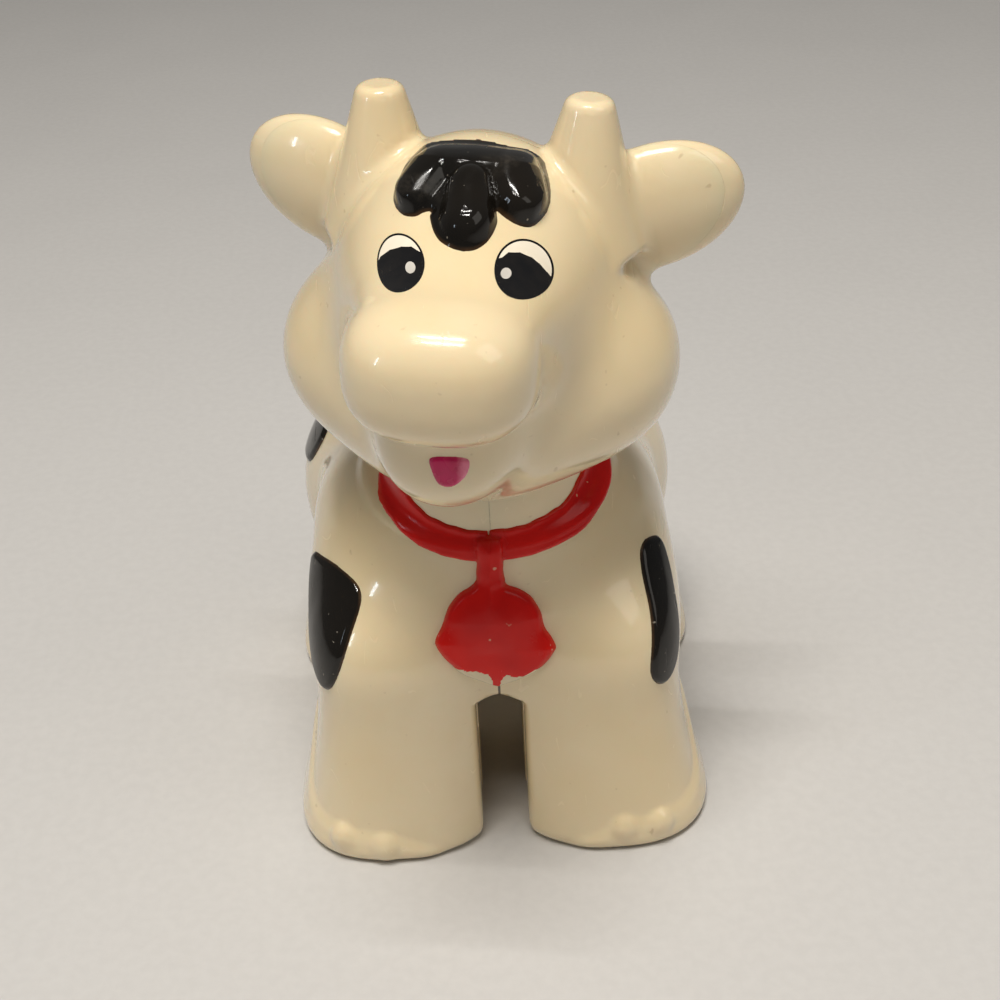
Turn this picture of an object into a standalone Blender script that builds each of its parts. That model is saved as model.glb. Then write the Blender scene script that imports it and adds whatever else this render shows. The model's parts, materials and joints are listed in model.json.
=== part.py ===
"""A hollow moulded toy cow whose head turns on its neck. Metres, +Z up, and the cow faces -Y."""

import itertools
import math

import bmesh
import bpy
import numpy as np
from mathutils import Matrix, Vector

MM = 0.001

# Fits shared by all pieces
CLEARANCE = 0.3 * MM
OVERRUN = 20.0 * MM
BODY_WALL = 2.2 * MM
HEAD_WALL = 2.0 * MM

# Body: overall sizes. Lengths run along Y, widths along X
BODY_LENGTH = 78.0 * MM
HIP_WIDTH = 66.0 * MM
BACK_HEIGHT = 64.0 * MM
BELLY_HEIGHT = 28.2 * MM

# Legs and hooves
LEG_WIDTH = 29.0 * MM
LEG_DEPTH = 30.0 * MM
LEG_PITCH = 45.0 * MM
FRONT_LEG_PITCH = 30.4 * MM
REAR_LEG_PITCH = 36.0 * MM
HOOF_FLARE = 5.4 * MM
HOOF_STEP = 0.9 * MM
HOOF_TOP_HEIGHT = 19.0 * MM
HOOF_LOW_SHARE = 0.27
HOOF_FADE_SHARES = (0.3, 0.35)
HOOF_LINE_PLACE_SHARE = 0.45
HOOF_LINE_STEEPNESS = 2.6
HOOF_SPREAD_POWER = 3
SOLE_EDGE_ROUND = 3.0 * MM

# The gaps under the belly
CHANNEL_WIDTH = 7.2 * MM
ARCH_LENGTH = 13.0 * MM
ARCH_SHIFT_SHARE = 0.06

# Neck: a tilted axis that the head turns on
NECK_PLACE_SHARES = (0.218, 1.078)
NECK_TOP_DIAMETER = 29.0 * MM
NECK_FOOT_DIAMETER = 33.6 * MM
NECK_STUB_LENGTH = 9.5 * MM
HEAD_SKIRT_LENGTH = 11.0 * MM
TURNING_GAP = 0.9 * MM
NECK_TILT = math.radians(13.0)
HEAD_TURN = math.radians(-12.5)

# Head: overall sizes, measured from the neck's pivot
HEAD_WIDTH = 56.0 * MM
HEAD_DEPTH = 46.0 * MM
HEAD_HEIGHT = 45.5 * MM
MUZZLE_WIDTH = 26.0 * MM
MUZZLE_LENGTH = 26.0 * MM
MUZZLE_HEIGHT = 19.0 * MM
HORN_LENGTH = 20.6 * MM
HORN_BASE_DIAMETER = 18.6 * MM
HORN_TIP_DIAMETER = 7.2 * MM
HORN_PITCH = 26.8 * MM
EAR_LENGTH = 25.8 * MM
EAR_WIDTH = 17.5 * MM
EAR_THICKNESS = 8.6 * MM

# Blends between neighbouring lumps of one moulding
TORSO_BLEND = 9.0 * MM
LEG_BLEND = 7.0 * MM
HEAD_BLEND = 7.0 * MM
MUZZLE_BLEND = 9.0 * MM
EAR_BLEND = 3.4 * MM
HORN_BLEND = 1.8 * MM
RIM_BLEND = 1.5 * MM

# Shares of the sizes above, where one lump stops inside another or an edge is rounded
LEG_CAP_SHARE = 0.7
CAP_BLEND_SHARE = 2.0
NECK_ROOT_SHARE = 1.18
NECK_ROOT_DEPTH_SHARE = 2.0
EDGE_BLEND_SHARE = 0.5
SOLE_SINK_SHARE = 0.03
EAR_SHIFT_SHARE = 0.12
HORN_EDGE_SHARE = 0.2
BODY_SPACE_SHARES = (0.7, 0.75)
HEAD_SPACE_SHARES = ((-0.9, -1.15, -0.25), (0.9, 0.7, 1.3))
SETTLE_SHARES = (0.05, 0.4)

# Lumps as shares of width, length and height: a centre and radii
TORSO_LUMP_SHARES = {
    "barrel": ((0.0, 0.05, 0.70), (0.38, 0.42, 0.28)),
    "hips": ((0.0, 0.24, 0.60), (0.46, 0.25, 0.40)),
}
CHEST_LUMP_SHARES = ((0.0, -0.19, 0.60), (0.38, 0.235, 0.36))
CHEST_SQUARENESS = 2.7
HEAD_LUMP_SHARES = {
    "cranium": ((0.0, -0.12, 0.535), (0.375, 0.48, 0.485)),
    "cheek_left": ((0.27, -0.18, 0.33), (0.23, 0.33, 0.31)),
    "cheek_right": ((-0.27, -0.18, 0.33), (0.23, 0.33, 0.31)),
    "jaw": ((0.0, -0.21, 0.21), (0.34, 0.41, 0.30)),
}
MUZZLE_PLACE_SHARES = (0.0, -0.678, 0.60)
CHIN_LUMP_SHARES = ((0.0, -0.56, 0.26), (0.17, 0.22, 0.19))
HORN_PLACE_SHARES = (0.5, -0.055, 0.69)
HORN_LEAN = math.radians(2.0)
EAR_PLACE_SHARES = (0.36, 0.055, 0.76)
EAR_RISE = math.radians(24.0)
EAR_SWEEP = math.radians(8.0)
LEG_SQUARENESS = 2.6
MUZZLE_SQUARENESS = 2.6

# Faceting of the skins
SKIN_CELL = 2.6 * MM
SKIN_KEEP_SHARE = 0.2
VOID_CELL = 5.0 * MM
VOID_KEEP_SHARE = 0.34
WELD_DISTANCE = 0.002 * MM
SHARP_ANGLE = math.radians(38.0)
RAY_STEPS = 60
RAY_STEP_SHARE = 0.7

# Sides of round pieces
BEARING_SIDES = 32
ROD_SIDES = 16
PEG_SIDES = 12
KEY_SIDES = 6

# Neck bearing
NECK_JOURNAL_DIAMETER = 17.6 * MM
NECK_BORE_DIAMETER = 10.0 * MM
NECK_FLANGE_DIAMETER = 23.0 * MM
KEY_DIAMETER = 22.0 * MM
GROOVE_DEPTH = 3.4 * MM
GROOVE_HEIGHT = 2.6 * MM

# Pins, bosses and plates inside the shells
PIN_DIAMETER = 3.2 * MM
PIN_LENGTH = 4.0 * MM
BOSS_DIAMETER = 7.0 * MM
PEG_DIAMETER = 2.4 * MM
COVER_THICKNESS = 2.0 * MM
BODY_PIN_SHARES = ((-0.20, 0.68), (0.12, 0.78), (0.40, 0.62))
HEAD_PIN_SHARES = ((-0.26, 0.42), (0.26, 0.42), (0.0, 0.86))

# Raised and printed details
PATCH_THICKNESS = 0.6 * MM
HAIR_THICKNESS = 3.0 * MM
HAIR_LOCK_WIDTH = 10.0 * MM
PRINT_THICKNESS = 0.35 * MM
EYE_WIDTH = 6.4 * MM
EYE_HEIGHT = 7.0 * MM
EYE_SIDES = 20
COLLAR_WIDTH = 4.6 * MM
COLLAR_SETBACK = 4.4 * MM
COLLAR_THICKNESS = 0.8 * MM
COLLAR_STEPS = 16
BELL_WIDTH = 18.0 * MM
BELL_HEIGHT = 24.0 * MM
BELL_FOOT = 32.6 * MM
BELL_THICKNESS = 1.4 * MM
TAIL_DIAMETER = 4.6 * MM
TAIL_LENGTH = 14.0 * MM
TAIL_ROOT_SHARE = 0.844
TUFT_DIAMETER = 7.0 * MM
TUFT_LENGTH = 9.5 * MM
TAIL_TAPER_SHARE = 0.35
TAIL_STEPS = 8

PAD_EDGE_SHARE = 0.45
PAD_STEP_SHARES = (1.0, 0.93, 0.5)
HAIR_STEP_SHARES = (1.0, 0.95, 0.82, 0.56, 0.28)
HAIR_LOW_SHARE = 0.3
BELL_CROWN_SHARE = 0.6
COLLAR_SECTION_SHARES = (0.0, 0.2, 0.8, 1.0)
COLLAR_RISE_SHARES = (0.4, 1.0, 1.0, 0.4)
BELL_LIFT_SHARE = 2.5
COLLAR_LIFT_SHARE = 2.1
PEG_HEAD_SHARE = 0.3
PIN_ROOT_SHARE = 0.5
KEY_WALL_SHARE = 0.5
TUFT_ROOT_SHARE = 0.6
TUFT_GAP_SHARE = 4.0
TUFT_SWELL_SHARES = (1.15, 0.8)

# Outlines as shares of the head's width and height, on the face's drawing plane
EYE_PLACE_SHARES = (0.139, 0.503)
EYE_SHIFT_SHARE = 0.0195
HAIR_PEG_SHARES = ((-0.08, 0.74), (0.09, 0.74))
HAIR_OUTLINE_SHARES = (
    (-0.15, 0.821),
    (-0.165, 0.783),
    (-0.175, 0.732),
    (-0.177, 0.687),
    (-0.166, 0.654),
    (-0.139, 0.631),
    (-0.108, 0.628),
    (-0.086, 0.644),
    (-0.071, 0.635),
    (-0.059, 0.595),
    (-0.036, 0.564),
    (0.006, 0.544),
    (0.043, 0.546),
    (0.069, 0.569),
    (0.082, 0.607),
    (0.079, 0.655),
    (0.094, 0.646),
    (0.126, 0.624),
    (0.159, 0.623),
    (0.183, 0.661),
    (0.189, 0.705),
    (0.181, 0.754),
    (0.154, 0.822),
    (0.119, 0.848),
    (0.065, 0.859),
    (0.0, 0.868),
    (-0.074, 0.862),
    (-0.131, 0.849),
)
HAIR_MIDDLE_SHARES = (0.0, 0.76)
BELL_MIDDLE_SHARES = (0.08, 0.42)
HAIR_LOCK_SHARES = (
    ((0.0, 0.80), (0.007, 0.62)),
    ((-0.03, 0.82), (-0.13, 0.70)),
    ((0.03, 0.82), (0.14, 0.70)),
)
TONGUE_SHARES = (
    (-0.032, 0.33),
    (0.048, 0.33),
    (0.045, 0.27),
    (0.02, 0.235),
    (-0.005, 0.237),
    (-0.03, 0.27),
)

# Outlines as shares of the body's length and height, seen square to the side; u runs forwards
SHOULDER_FACING = math.radians(53.0)
HIP_FACING = math.radians(100.0)
REAR_FACING = math.radians(135.0)
BROAD_PATCH_SHARES = (
    (-0.05, 0.72),
    (0.01, 0.745),
    (0.065, 0.75),
    (0.125, 0.735),
    (0.155, 0.69),
    (0.172, 0.60),
    (0.155, 0.52),
    (0.12, 0.485),
    (0.065, 0.52),
    (0.0, 0.61),
    (-0.045, 0.68),
)
BAR_PATCH_SHARES = (
    (0.035, 0.765),
    (0.085, 0.765),
    (0.117, 0.735),
    (0.152, 0.68),
    (0.186, 0.60),
    (0.20, 0.53),
    (0.185, 0.485),
    (0.15, 0.465),
    (0.115, 0.485),
    (0.075, 0.55),
    (0.04, 0.615),
    (0.005, 0.68),
    (-0.005, 0.74),
)
LOW_PATCH_SHARES = (
    (-0.27, 0.60),
    (-0.22, 0.68),
    (-0.14, 0.70),
    (-0.07, 0.66),
    (-0.03, 0.58),
    (-0.09, 0.50),
    (-0.18, 0.48),
    (-0.25, 0.53),
)
HIGH_PATCH_SHARES = (
    (-0.34, 0.78),
    (-0.28, 0.87),
    (-0.20, 0.90),
    (-0.12, 0.88),
    (-0.07, 0.80),
    (-0.11, 0.73),
    (-0.19, 0.75),
    (-0.27, 0.70),
    (-0.33, 0.72),
)

# Half outlines as shares of the bell's width and height, from the seam outwards
BELL_SHARES = (
    (0.0, 0.0),
    (0.0, 0.33),
    (0.0, 0.66),
    (0.0, 0.99),
    (0.10, 0.99),
    (0.11, 0.86),
    (0.14, 0.76),
    (0.25, 0.72),
    (0.36, 0.62),
    (0.42, 0.48),
    (0.44, 0.36),
    (0.50, 0.27),
    (0.49, 0.19),
    (0.38, 0.11),
    (0.24, 0.05),
    (0.12, 0.01),
)

CREAM = (0.86, 0.74, 0.52)
INNER_CREAM = (0.80, 0.66, 0.40)
BLACK = (0.015, 0.013, 0.012)
RED = (0.62, 0.02, 0.015)
PINK = (0.75, 0.03, 0.18)
BODY_SHINE = 0.75
PAINT_SHINE = 0.8

# Frames: the body stands at the origin until the whole part is centred
NECK_HEIGHT = NECK_PLACE_SHARES[1] * BACK_HEIGHT
PIVOT = Vector((0.0, -NECK_PLACE_SHARES[0] * BODY_LENGTH, NECK_HEIGHT))
ARCH_PLACE = LEG_PITCH * ARCH_SHIFT_SHARE
TILT_FRAME = Matrix.Rotation(NECK_TILT, 4, "X")
NECK_FRAME = Matrix.Translation(PIVOT) @ TILT_FRAME
TAIL_ROOT_HEIGHT = TAIL_ROOT_SHARE * BACK_HEIGHT
BODY_PLACE = Matrix.Identity(4)
HEAD_PLACE = NECK_FRAME @ Matrix.Rotation(HEAD_TURN, 4, "Z") @ TILT_FRAME.inverted()
SPLIT_LEAN = math.radians(-4.0)
SPLIT_FRAME = Matrix.Rotation(SPLIT_LEAN, 4, "X")
FACE_VIEW = math.radians(25.0)
UPRIGHT = math.radians(90.0)
HEAD_AHEAD = Matrix.Translation((0.0, 0.0, HEAD_DEPTH + MUZZLE_LENGTH))
FACE_FRAME = Matrix.Rotation(UPRIGHT - FACE_VIEW, 4, "X") @ HEAD_AHEAD
MOUTH_FRAME = Matrix.Rotation(UPRIGHT, 4, "X") @ HEAD_AHEAD
CHEST_FRAME = Matrix.Rotation(UPRIGHT, 4, "X") @ Matrix.Translation((0.0, 0.0, BODY_LENGTH))


def smooth_join(a, b, blend):
    """Distance to two lumps joined with a fillet about as wide as the blend."""
    share = np.clip(0.5 + 0.5 * (b - a) / blend, 0.0, 1.0)
    return b + (a - b) * share - blend * share * (1.0 - share)


def smooth_cut(a, b, blend):
    """Distance to lump a with lump b taken away, its edge rounded by the blend."""
    return -smooth_join(-a, b, blend)


def ellipsoid(points, centre, radii):
    """Near enough the distance to an ellipsoid, and well below zero all through its middle."""
    scaled = (points - np.array(centre)) / np.array(radii)
    reach = np.linalg.norm(scaled, axis=1)
    steepness = np.linalg.norm(scaled / np.array(radii), axis=1)
    return np.maximum(reach, 0.5) * (reach - 1.0) / np.maximum(steepness, 0.5 / max(radii))


def rounded_block(points, centre, radii, squareness):
    """Distance to a superellipsoid: 2 is an ellipsoid, and more is squarer."""
    scaled = np.abs(points - np.array(centre)) / np.array(radii)
    reach = (scaled**squareness).sum(axis=1) ** (1.0 / squareness)
    return (reach - 1.0) * min(radii)


def column(points, centre, half_width, half_depth, squareness):
    """Distance to an upright column; its half width and depth may change with height."""
    across = np.abs(points[:, 0] - centre[0]) / half_width
    along = np.abs(points[:, 1] - centre[1]) / half_depth
    reach = (across**squareness + along**squareness) ** (1.0 / squareness)
    return (reach - 1.0) * np.minimum(half_width, half_depth)


def tapered_post(points, base, tip, base_radius, tip_radius, edge):
    """Distance to a truncated cone with rounded ends."""
    axis = np.array(tip) - np.array(base)
    length = np.linalg.norm(axis)
    axis = axis / length
    along = (points - np.array(base)) @ axis
    away = np.linalg.norm(points - np.array(base) - along[:, None] * axis, axis=1)
    radius = base_radius + (tip_radius - base_radius) * np.clip(along / length, 0.0, 1.0)
    side = away - radius
    end = np.abs(along - length / 2.0) - length / 2.0
    return -smooth_join(-side, -end, edge)


def scaled_by(shares, sizes):
    return tuple(share * size for share, size in zip(shares, sizes))


def joined_lumps(points, lumps, sizes, blend):
    total = None
    for centre, radii in lumps:
        lump = ellipsoid(points, scaled_by(centre, sizes), scaled_by(radii, sizes))
        total = lump if total is None else smooth_join(total, lump, blend)
    return total


def neck_axis():
    """The way the tilted neck points."""
    return np.array((0.0, -math.sin(NECK_TILT), math.cos(NECK_TILT)))


def neck_height(points, pivot):
    """Height along the tilted neck axis, from its pivot."""
    return (points - np.array(pivot)) @ neck_axis()


def leg(points, side, pitch, centre_y):
    """One leg as a squarish column that widens towards the sole."""
    height = np.clip(points[:, 2], 0.0, BELLY_HEIGHT)
    spread = HOOF_FLARE * (1.0 - height / BELLY_HEIGHT) ** HOOF_SPREAD_POWER
    return column(
        points,
        (side * (pitch + spread) / 2.0, centre_y),
        (LEG_WIDTH + spread) / 2.0,
        (LEG_DEPTH + spread) / 2.0,
        LEG_SQUARENESS,
    )


def hoof_line(points, side, pitch, centre_y):
    """Height above the raised hoof's upper edge: high behind, low in front, and gone at the inner toe."""
    forward = (centre_y - points[:, 1]) / (LEG_DEPTH / 2.0)
    outward = side * points[:, 0] / pitch
    fade = np.clip((outward - HOOF_FADE_SHARES[0]) / HOOF_FADE_SHARES[1], -1.0, 1.0)
    low = HOOF_TOP_HEIGHT * HOOF_LOW_SHARE * fade
    fall = np.tanh(HOOF_LINE_STEEPNESS * (forward - HOOF_LINE_PLACE_SHARE))
    top = low + (HOOF_TOP_HEIGHT - low) * (1.0 - fall) / 2.0
    return points[:, 2] - top


def legs():
    """Side, pitch and place along Y of the four legs."""
    return [
        (side, pitch, end * LEG_PITCH / 2.0)
        for side in (-1.0, 1.0)
        for pitch, end in ((FRONT_LEG_PITCH, -1.0), (REAR_LEG_PITCH, 1.0))
    ]


def body_core(points):
    """Distance to the torso and legs, without hooves, soles and neck."""
    sizes = (HIP_WIDTH, BODY_LENGTH, BACK_HEIGHT)
    skin = joined_lumps(points, TORSO_LUMP_SHARES.values(), sizes, TORSO_BLEND)
    chest = rounded_block(
        points,
        scaled_by(CHEST_LUMP_SHARES[0], sizes),
        scaled_by(CHEST_LUMP_SHARES[1], sizes),
        CHEST_SQUARENESS,
    )
    skin = smooth_join(skin, chest, TORSO_BLEND)
    for side, pitch, centre_y in legs():
        post = leg(points, side, pitch, centre_y)
        cap = points[:, 2] - BACK_HEIGHT * LEG_CAP_SHARE
        skin = smooth_join(skin, smooth_cut(post, -cap, LEG_BLEND * CAP_BLEND_SHARE), LEG_BLEND)
    return skin


def body_form(points):
    """Distance to the body's outer skin, without the gaps between the legs."""
    skin = body_core(points)
    for side, pitch, centre_y in legs():
        shoe = leg(points, side, pitch, centre_y) - HOOF_STEP
        shoe = smooth_cut(shoe, -hoof_line(points, side, pitch, centre_y), HOOF_STEP)
        skin = smooth_join(skin, shoe, HOOF_STEP * EDGE_BLEND_SHARE)
    axis = neck_axis()
    top = np.array(PIVOT) - axis * TURNING_GAP
    foot = top - axis * NECK_STUB_LENGTH
    deep = top - axis * NECK_STUB_LENGTH * NECK_ROOT_DEPTH_SHARE
    radius = NECK_FOOT_DIAMETER / 2.0
    root = tapered_post(points, deep, foot, radius * NECK_ROOT_SHARE, radius, RIM_BLEND)
    skin = smooth_join(skin, root, LEG_BLEND)
    stub = tapered_post(points, foot, top, radius, NECK_TOP_DIAMETER / 2.0, RIM_BLEND * EDGE_BLEND_SHARE)
    skin = smooth_join(skin, stub, RIM_BLEND)
    return smooth_cut(skin, points[:, 2] + SOLE_EDGE_ROUND * SOLE_SINK_SHARE, SOLE_EDGE_ROUND)


def turned_points(points, centre, rise, sweep, side):
    """Points in a lump's own frame, after a rise about Y and a sweep about Z."""
    turn = Matrix.Rotation(side * sweep, 3, "Z") @ Matrix.Rotation(-side * rise, 3, "Y")
    return (points - np.array(centre)) @ np.array(turn)


def head_core(points):
    """Distance to the head without its ears and horns, in the frame of the neck's pivot."""
    sizes = (HEAD_WIDTH, HEAD_DEPTH, HEAD_HEIGHT)
    skin = joined_lumps(points, HEAD_LUMP_SHARES.values(), sizes, HEAD_BLEND)
    muzzle = rounded_block(
        points,
        scaled_by(MUZZLE_PLACE_SHARES, sizes),
        (MUZZLE_WIDTH / 2.0, MUZZLE_LENGTH / 2.0, MUZZLE_HEIGHT / 2.0),
        MUZZLE_SQUARENESS,
    )
    skin = smooth_join(skin, muzzle, MUZZLE_BLEND)
    chin = ellipsoid(points, scaled_by(CHIN_LUMP_SHARES[0], sizes), scaled_by(CHIN_LUMP_SHARES[1], sizes))
    skin = smooth_join(skin, chin, MUZZLE_BLEND * EDGE_BLEND_SHARE)
    reach = neck_axis() * HEAD_SKIRT_LENGTH
    radius = NECK_TOP_DIAMETER / 2.0
    skin = smooth_join(skin, tapered_post(points, -reach, reach, radius, radius, RIM_BLEND), LEG_BLEND)
    return smooth_cut(skin, neck_height(points, (0.0, 0.0, 0.0)), RIM_BLEND)


def head_form(points):
    """Distance to the head's outer skin, in the frame of the neck's pivot."""
    sizes = (HEAD_WIDTH, HEAD_DEPTH, HEAD_HEIGHT)
    skin = head_core(points)
    for side in (-1.0, 1.0):
        root = scaled_by((side * EAR_PLACE_SHARES[0],) + EAR_PLACE_SHARES[1:], sizes)
        own = turned_points(points, root, EAR_RISE, EAR_SWEEP, side)
        ear = ellipsoid(
            own,
            (side * EAR_LENGTH * EAR_SHIFT_SHARE, 0.0, 0.0),
            (EAR_LENGTH / 2.0, EAR_THICKNESS / 2.0, EAR_WIDTH / 2.0),
        )
        skin = smooth_join(skin, ear, EAR_BLEND)
        place = (side * HORN_PLACE_SHARES[0],) + HORN_PLACE_SHARES[1:]
        foot = scaled_by(place, (HORN_PITCH, HEAD_DEPTH, HEAD_HEIGHT))
        rise = (side * math.sin(HORN_LEAN), 0.0, math.cos(HORN_LEAN))
        tip = tuple(start + HORN_LENGTH * step for start, step in zip(foot, rise))
        edge = HORN_TIP_DIAMETER * HORN_EDGE_SHARE
        horn = tapered_post(points, foot, tip, HORN_BASE_DIAMETER / 2.0, HORN_TIP_DIAMETER / 2.0, edge)
        skin = smooth_join(skin, horn, HORN_BLEND)
    return skin


def skin_mesh(name, distance, low, high, cell):
    """A closed quad mesh of the surface where distance is zero: one vertex in each grid cell it crosses."""
    low = np.array(low)
    counts = np.ceil((np.array(high) - low) / cell).astype(int) + 1
    lines = [low[i] + cell * np.arange(counts[i]) for i in range(3)]
    grid = np.stack(np.meshgrid(*lines, indexing="ij"), axis=-1)
    values = distance(grid.reshape(-1, 3)).reshape(counts)

    def corner(array, offset):
        return array[tuple(slice(o, counts[i] - 1 + o) for i, o in enumerate(offset))]

    corners = [(i, j, k) for i in (0, 1) for j in (0, 1) for k in (0, 1)]
    full = sum((corner(values, c) < 0.0).astype(int) for c in corners)
    crossed = (full > 0) & (full < 8)
    number = np.full(crossed.shape, -1)
    number[crossed] = np.arange(crossed.sum())
    base = np.argwhere(crossed).astype(float)
    place = np.zeros_like(base)
    weight = np.zeros(len(base))
    for axis in range(3):
        for start in [c for c in corners if c[axis] == 0]:
            end = tuple(1 if i == axis else o for i, o in enumerate(start))
            first = corner(values, start)[crossed]
            last = corner(values, end)[crossed]
            cut = (first < 0.0) != (last < 0.0)
            share = np.where(cut, first / np.where(cut, first - last, 1.0), 0.0)
            point = base + np.array(start)
            point[:, axis] += share
            place += point * cut[:, None]
            weight += cut
    vertices = low + cell * place / weight[:, None]
    faces = []
    for axis in range(3):
        u, v = (axis + 1) % 3, (axis + 2) % 3
        span = [slice(1, counts[i] - 1) for i in range(3)]
        span[axis] = slice(0, counts[axis] - 1)
        far = list(span)
        far[axis] = slice(1, counts[axis])
        first, last = values[tuple(span)] < 0.0, values[tuple(far)] < 0.0
        where = np.argwhere(first != last)
        rising = first[first != last]
        start = where + np.array([s.start for s in span])
        step_u, step_v = np.eye(3, dtype=int)[u], np.eye(3, dtype=int)[v]
        ring = [start, start - step_u, start - step_u - step_v, start - step_v]
        quads = np.stack([number[tuple(cell_index.T)] for cell_index in ring], axis=1)
        quads[rising] = quads[rising][:, ::-1]
        faces.append(quads)
    vertices = settled(vertices, distance, cell)
    mesh = bpy.data.meshes.new(name)
    mesh.from_pydata(vertices.tolist(), [], np.concatenate(faces)[:, ::-1].tolist())
    mesh.validate()
    return mesh


def slope(points, distance, reach):
    """The distance's gradient, by differences over a small reach."""
    steps = np.eye(3) * reach
    return np.stack([(distance(points + s) - distance(points - s)) / (2.0 * reach) for s in steps], axis=1)


def settled(vertices, distance, cell):
    """Vertices drawn onto the surface, each at most part of a cell from where it was."""
    for _ in range(3):
        gradient = slope(vertices, distance, cell * SETTLE_SHARES[0])
        steepness = np.maximum((gradient**2).sum(axis=1), SETTLE_SHARES[0])
        move = -gradient * (distance(vertices) / steepness)[:, None]
        limit = cell * SETTLE_SHARES[1]
        size = np.maximum(np.linalg.norm(move, axis=1), limit)
        vertices = vertices + move * (limit / size)[:, None]
    return vertices


# Pieces
def link(name, mesh):
    piece = bpy.data.objects.new(name, mesh)
    bpy.context.scene.collection.objects.link(piece)
    return piece


def baked(piece):
    """The piece with its modifiers worked into its mesh."""
    result = bpy.data.meshes.new_from_object(piece.evaluated_get(bpy.context.evaluated_depsgraph_get()))
    piece.modifiers.clear()
    piece.data = result
    return piece


def simplified(piece, keep_share):
    thinner = piece.modifiers.new("thinner", "DECIMATE")
    thinner.ratio = keep_share
    thinner.use_collapse_triangulate = True
    return baked(piece)


def netted(name, distance, low, high, cell, keep_share):
    """A form's surface as an object with only part of its faces kept."""
    return simplified(link(name, skin_mesh(name, distance, low, high, cell)), keep_share)


def combined(piece, tools, operation):
    """The piece after each tool is cut away, added, or kept as the common part; the tools are removed."""
    for tool in tools:
        change = piece.modifiers.new(operation.lower(), "BOOLEAN")
        change.operation = operation
        change.solver = "EXACT"
        change.object = tool
    bpy.context.view_layer.update()
    baked(piece)
    for tool in tools:
        bpy.data.objects.remove(tool)
    shape = bmesh.new()
    shape.from_mesh(piece.data)
    bmesh.ops.remove_doubles(shape, verts=shape.verts, dist=WELD_DISTANCE)
    bmesh.ops.dissolve_degenerate(shape, edges=shape.edges, dist=WELD_DISTANCE)
    bmesh.ops.triangulate(shape, faces=shape.faces)
    shape.to_mesh(piece.data)
    shape.free()
    return piece


def copy_of(piece, name):
    return link(name, piece.data.copy())


def solid(name, vertices, faces):
    """A closed solid with its faces turned outwards."""
    mesh = bpy.data.meshes.new(name)
    mesh.from_pydata([tuple(v) for v in vertices], [], faces)
    shape = bmesh.new()
    shape.from_mesh(mesh)
    bmesh.ops.recalc_face_normals(shape, faces=shape.faces)
    bmesh.ops.triangulate(shape, faces=shape.faces)
    shape.to_mesh(mesh)
    shape.free()
    return link(name, mesh)


def box(name, low, high, frame=None):
    corners = [Vector(corner) for corner in itertools.product(*zip(low, high))]
    if frame is not None:
        corners = [frame @ corner for corner in corners]
    faces = [(0, 1, 3, 2), (4, 6, 7, 5), (0, 4, 5, 1), (2, 3, 7, 6), (0, 2, 6, 4), (1, 5, 7, 3)]
    return solid(name, corners, faces)


def turned(name, profile, sides, frame, loop=False):
    """A solid turned about the frame's Z from (radius, height) pairs; a loop makes a ring."""
    vertices, faces = [], []
    for radius, height in profile:
        for k in range(sides):
            angle = math.tau * k / sides
            vertices.append(frame @ Vector((radius * math.cos(angle), radius * math.sin(angle), height)))
    count = len(profile)
    for i in range(count if loop else count - 1):
        j = (i + 1) % count
        for k in range(sides):
            m = (k + 1) % sides
            faces.append((i * sides + k, i * sides + m, j * sides + m, j * sides + k))
    if not loop:
        faces.append(tuple(range(sides)))
        faces.append(tuple((count - 1) * sides + k for k in range(sides)))
    return solid(name, vertices, faces)


def rod(name, start, end, radius, sides=ROD_SIDES):
    """A round bar between two points."""
    start, end = Vector(start), Vector(end)
    frame = Matrix.Translation(start) @ (end - start).to_track_quat("Z", "Y").to_matrix().to_4x4()
    return turned(name, [(radius, 0.0), (radius, (end - start).length)], sides, frame)


def cast(starts, direction, distance):
    """Points where rays first meet a skin."""
    points = np.array(starts, dtype=float)
    for _ in range(RAY_STEPS):
        points = points + np.array(direction) * (RAY_STEP_SHARE * distance(points))[:, None]
    return points


def smooth_ring(points, copies):
    """A closed outline through the points, rounded, with this many points in each gap."""
    points = np.array(points, dtype=float)
    ring = []
    for i in range(len(points)):
        a, b, c, d = (points[(i + k) % len(points)] for k in (-1, 0, 1, 2))
        for s in np.arange(copies) / copies:
            square = (2.0 * a - 5.0 * b + 4.0 * c - d) * s**2
            cube = (3.0 * b - a - 3.0 * c + d) * s**3
            ring.append((2.0 * b + (c - a) * s + square + cube) / 2.0)
    return np.array(ring)


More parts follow.
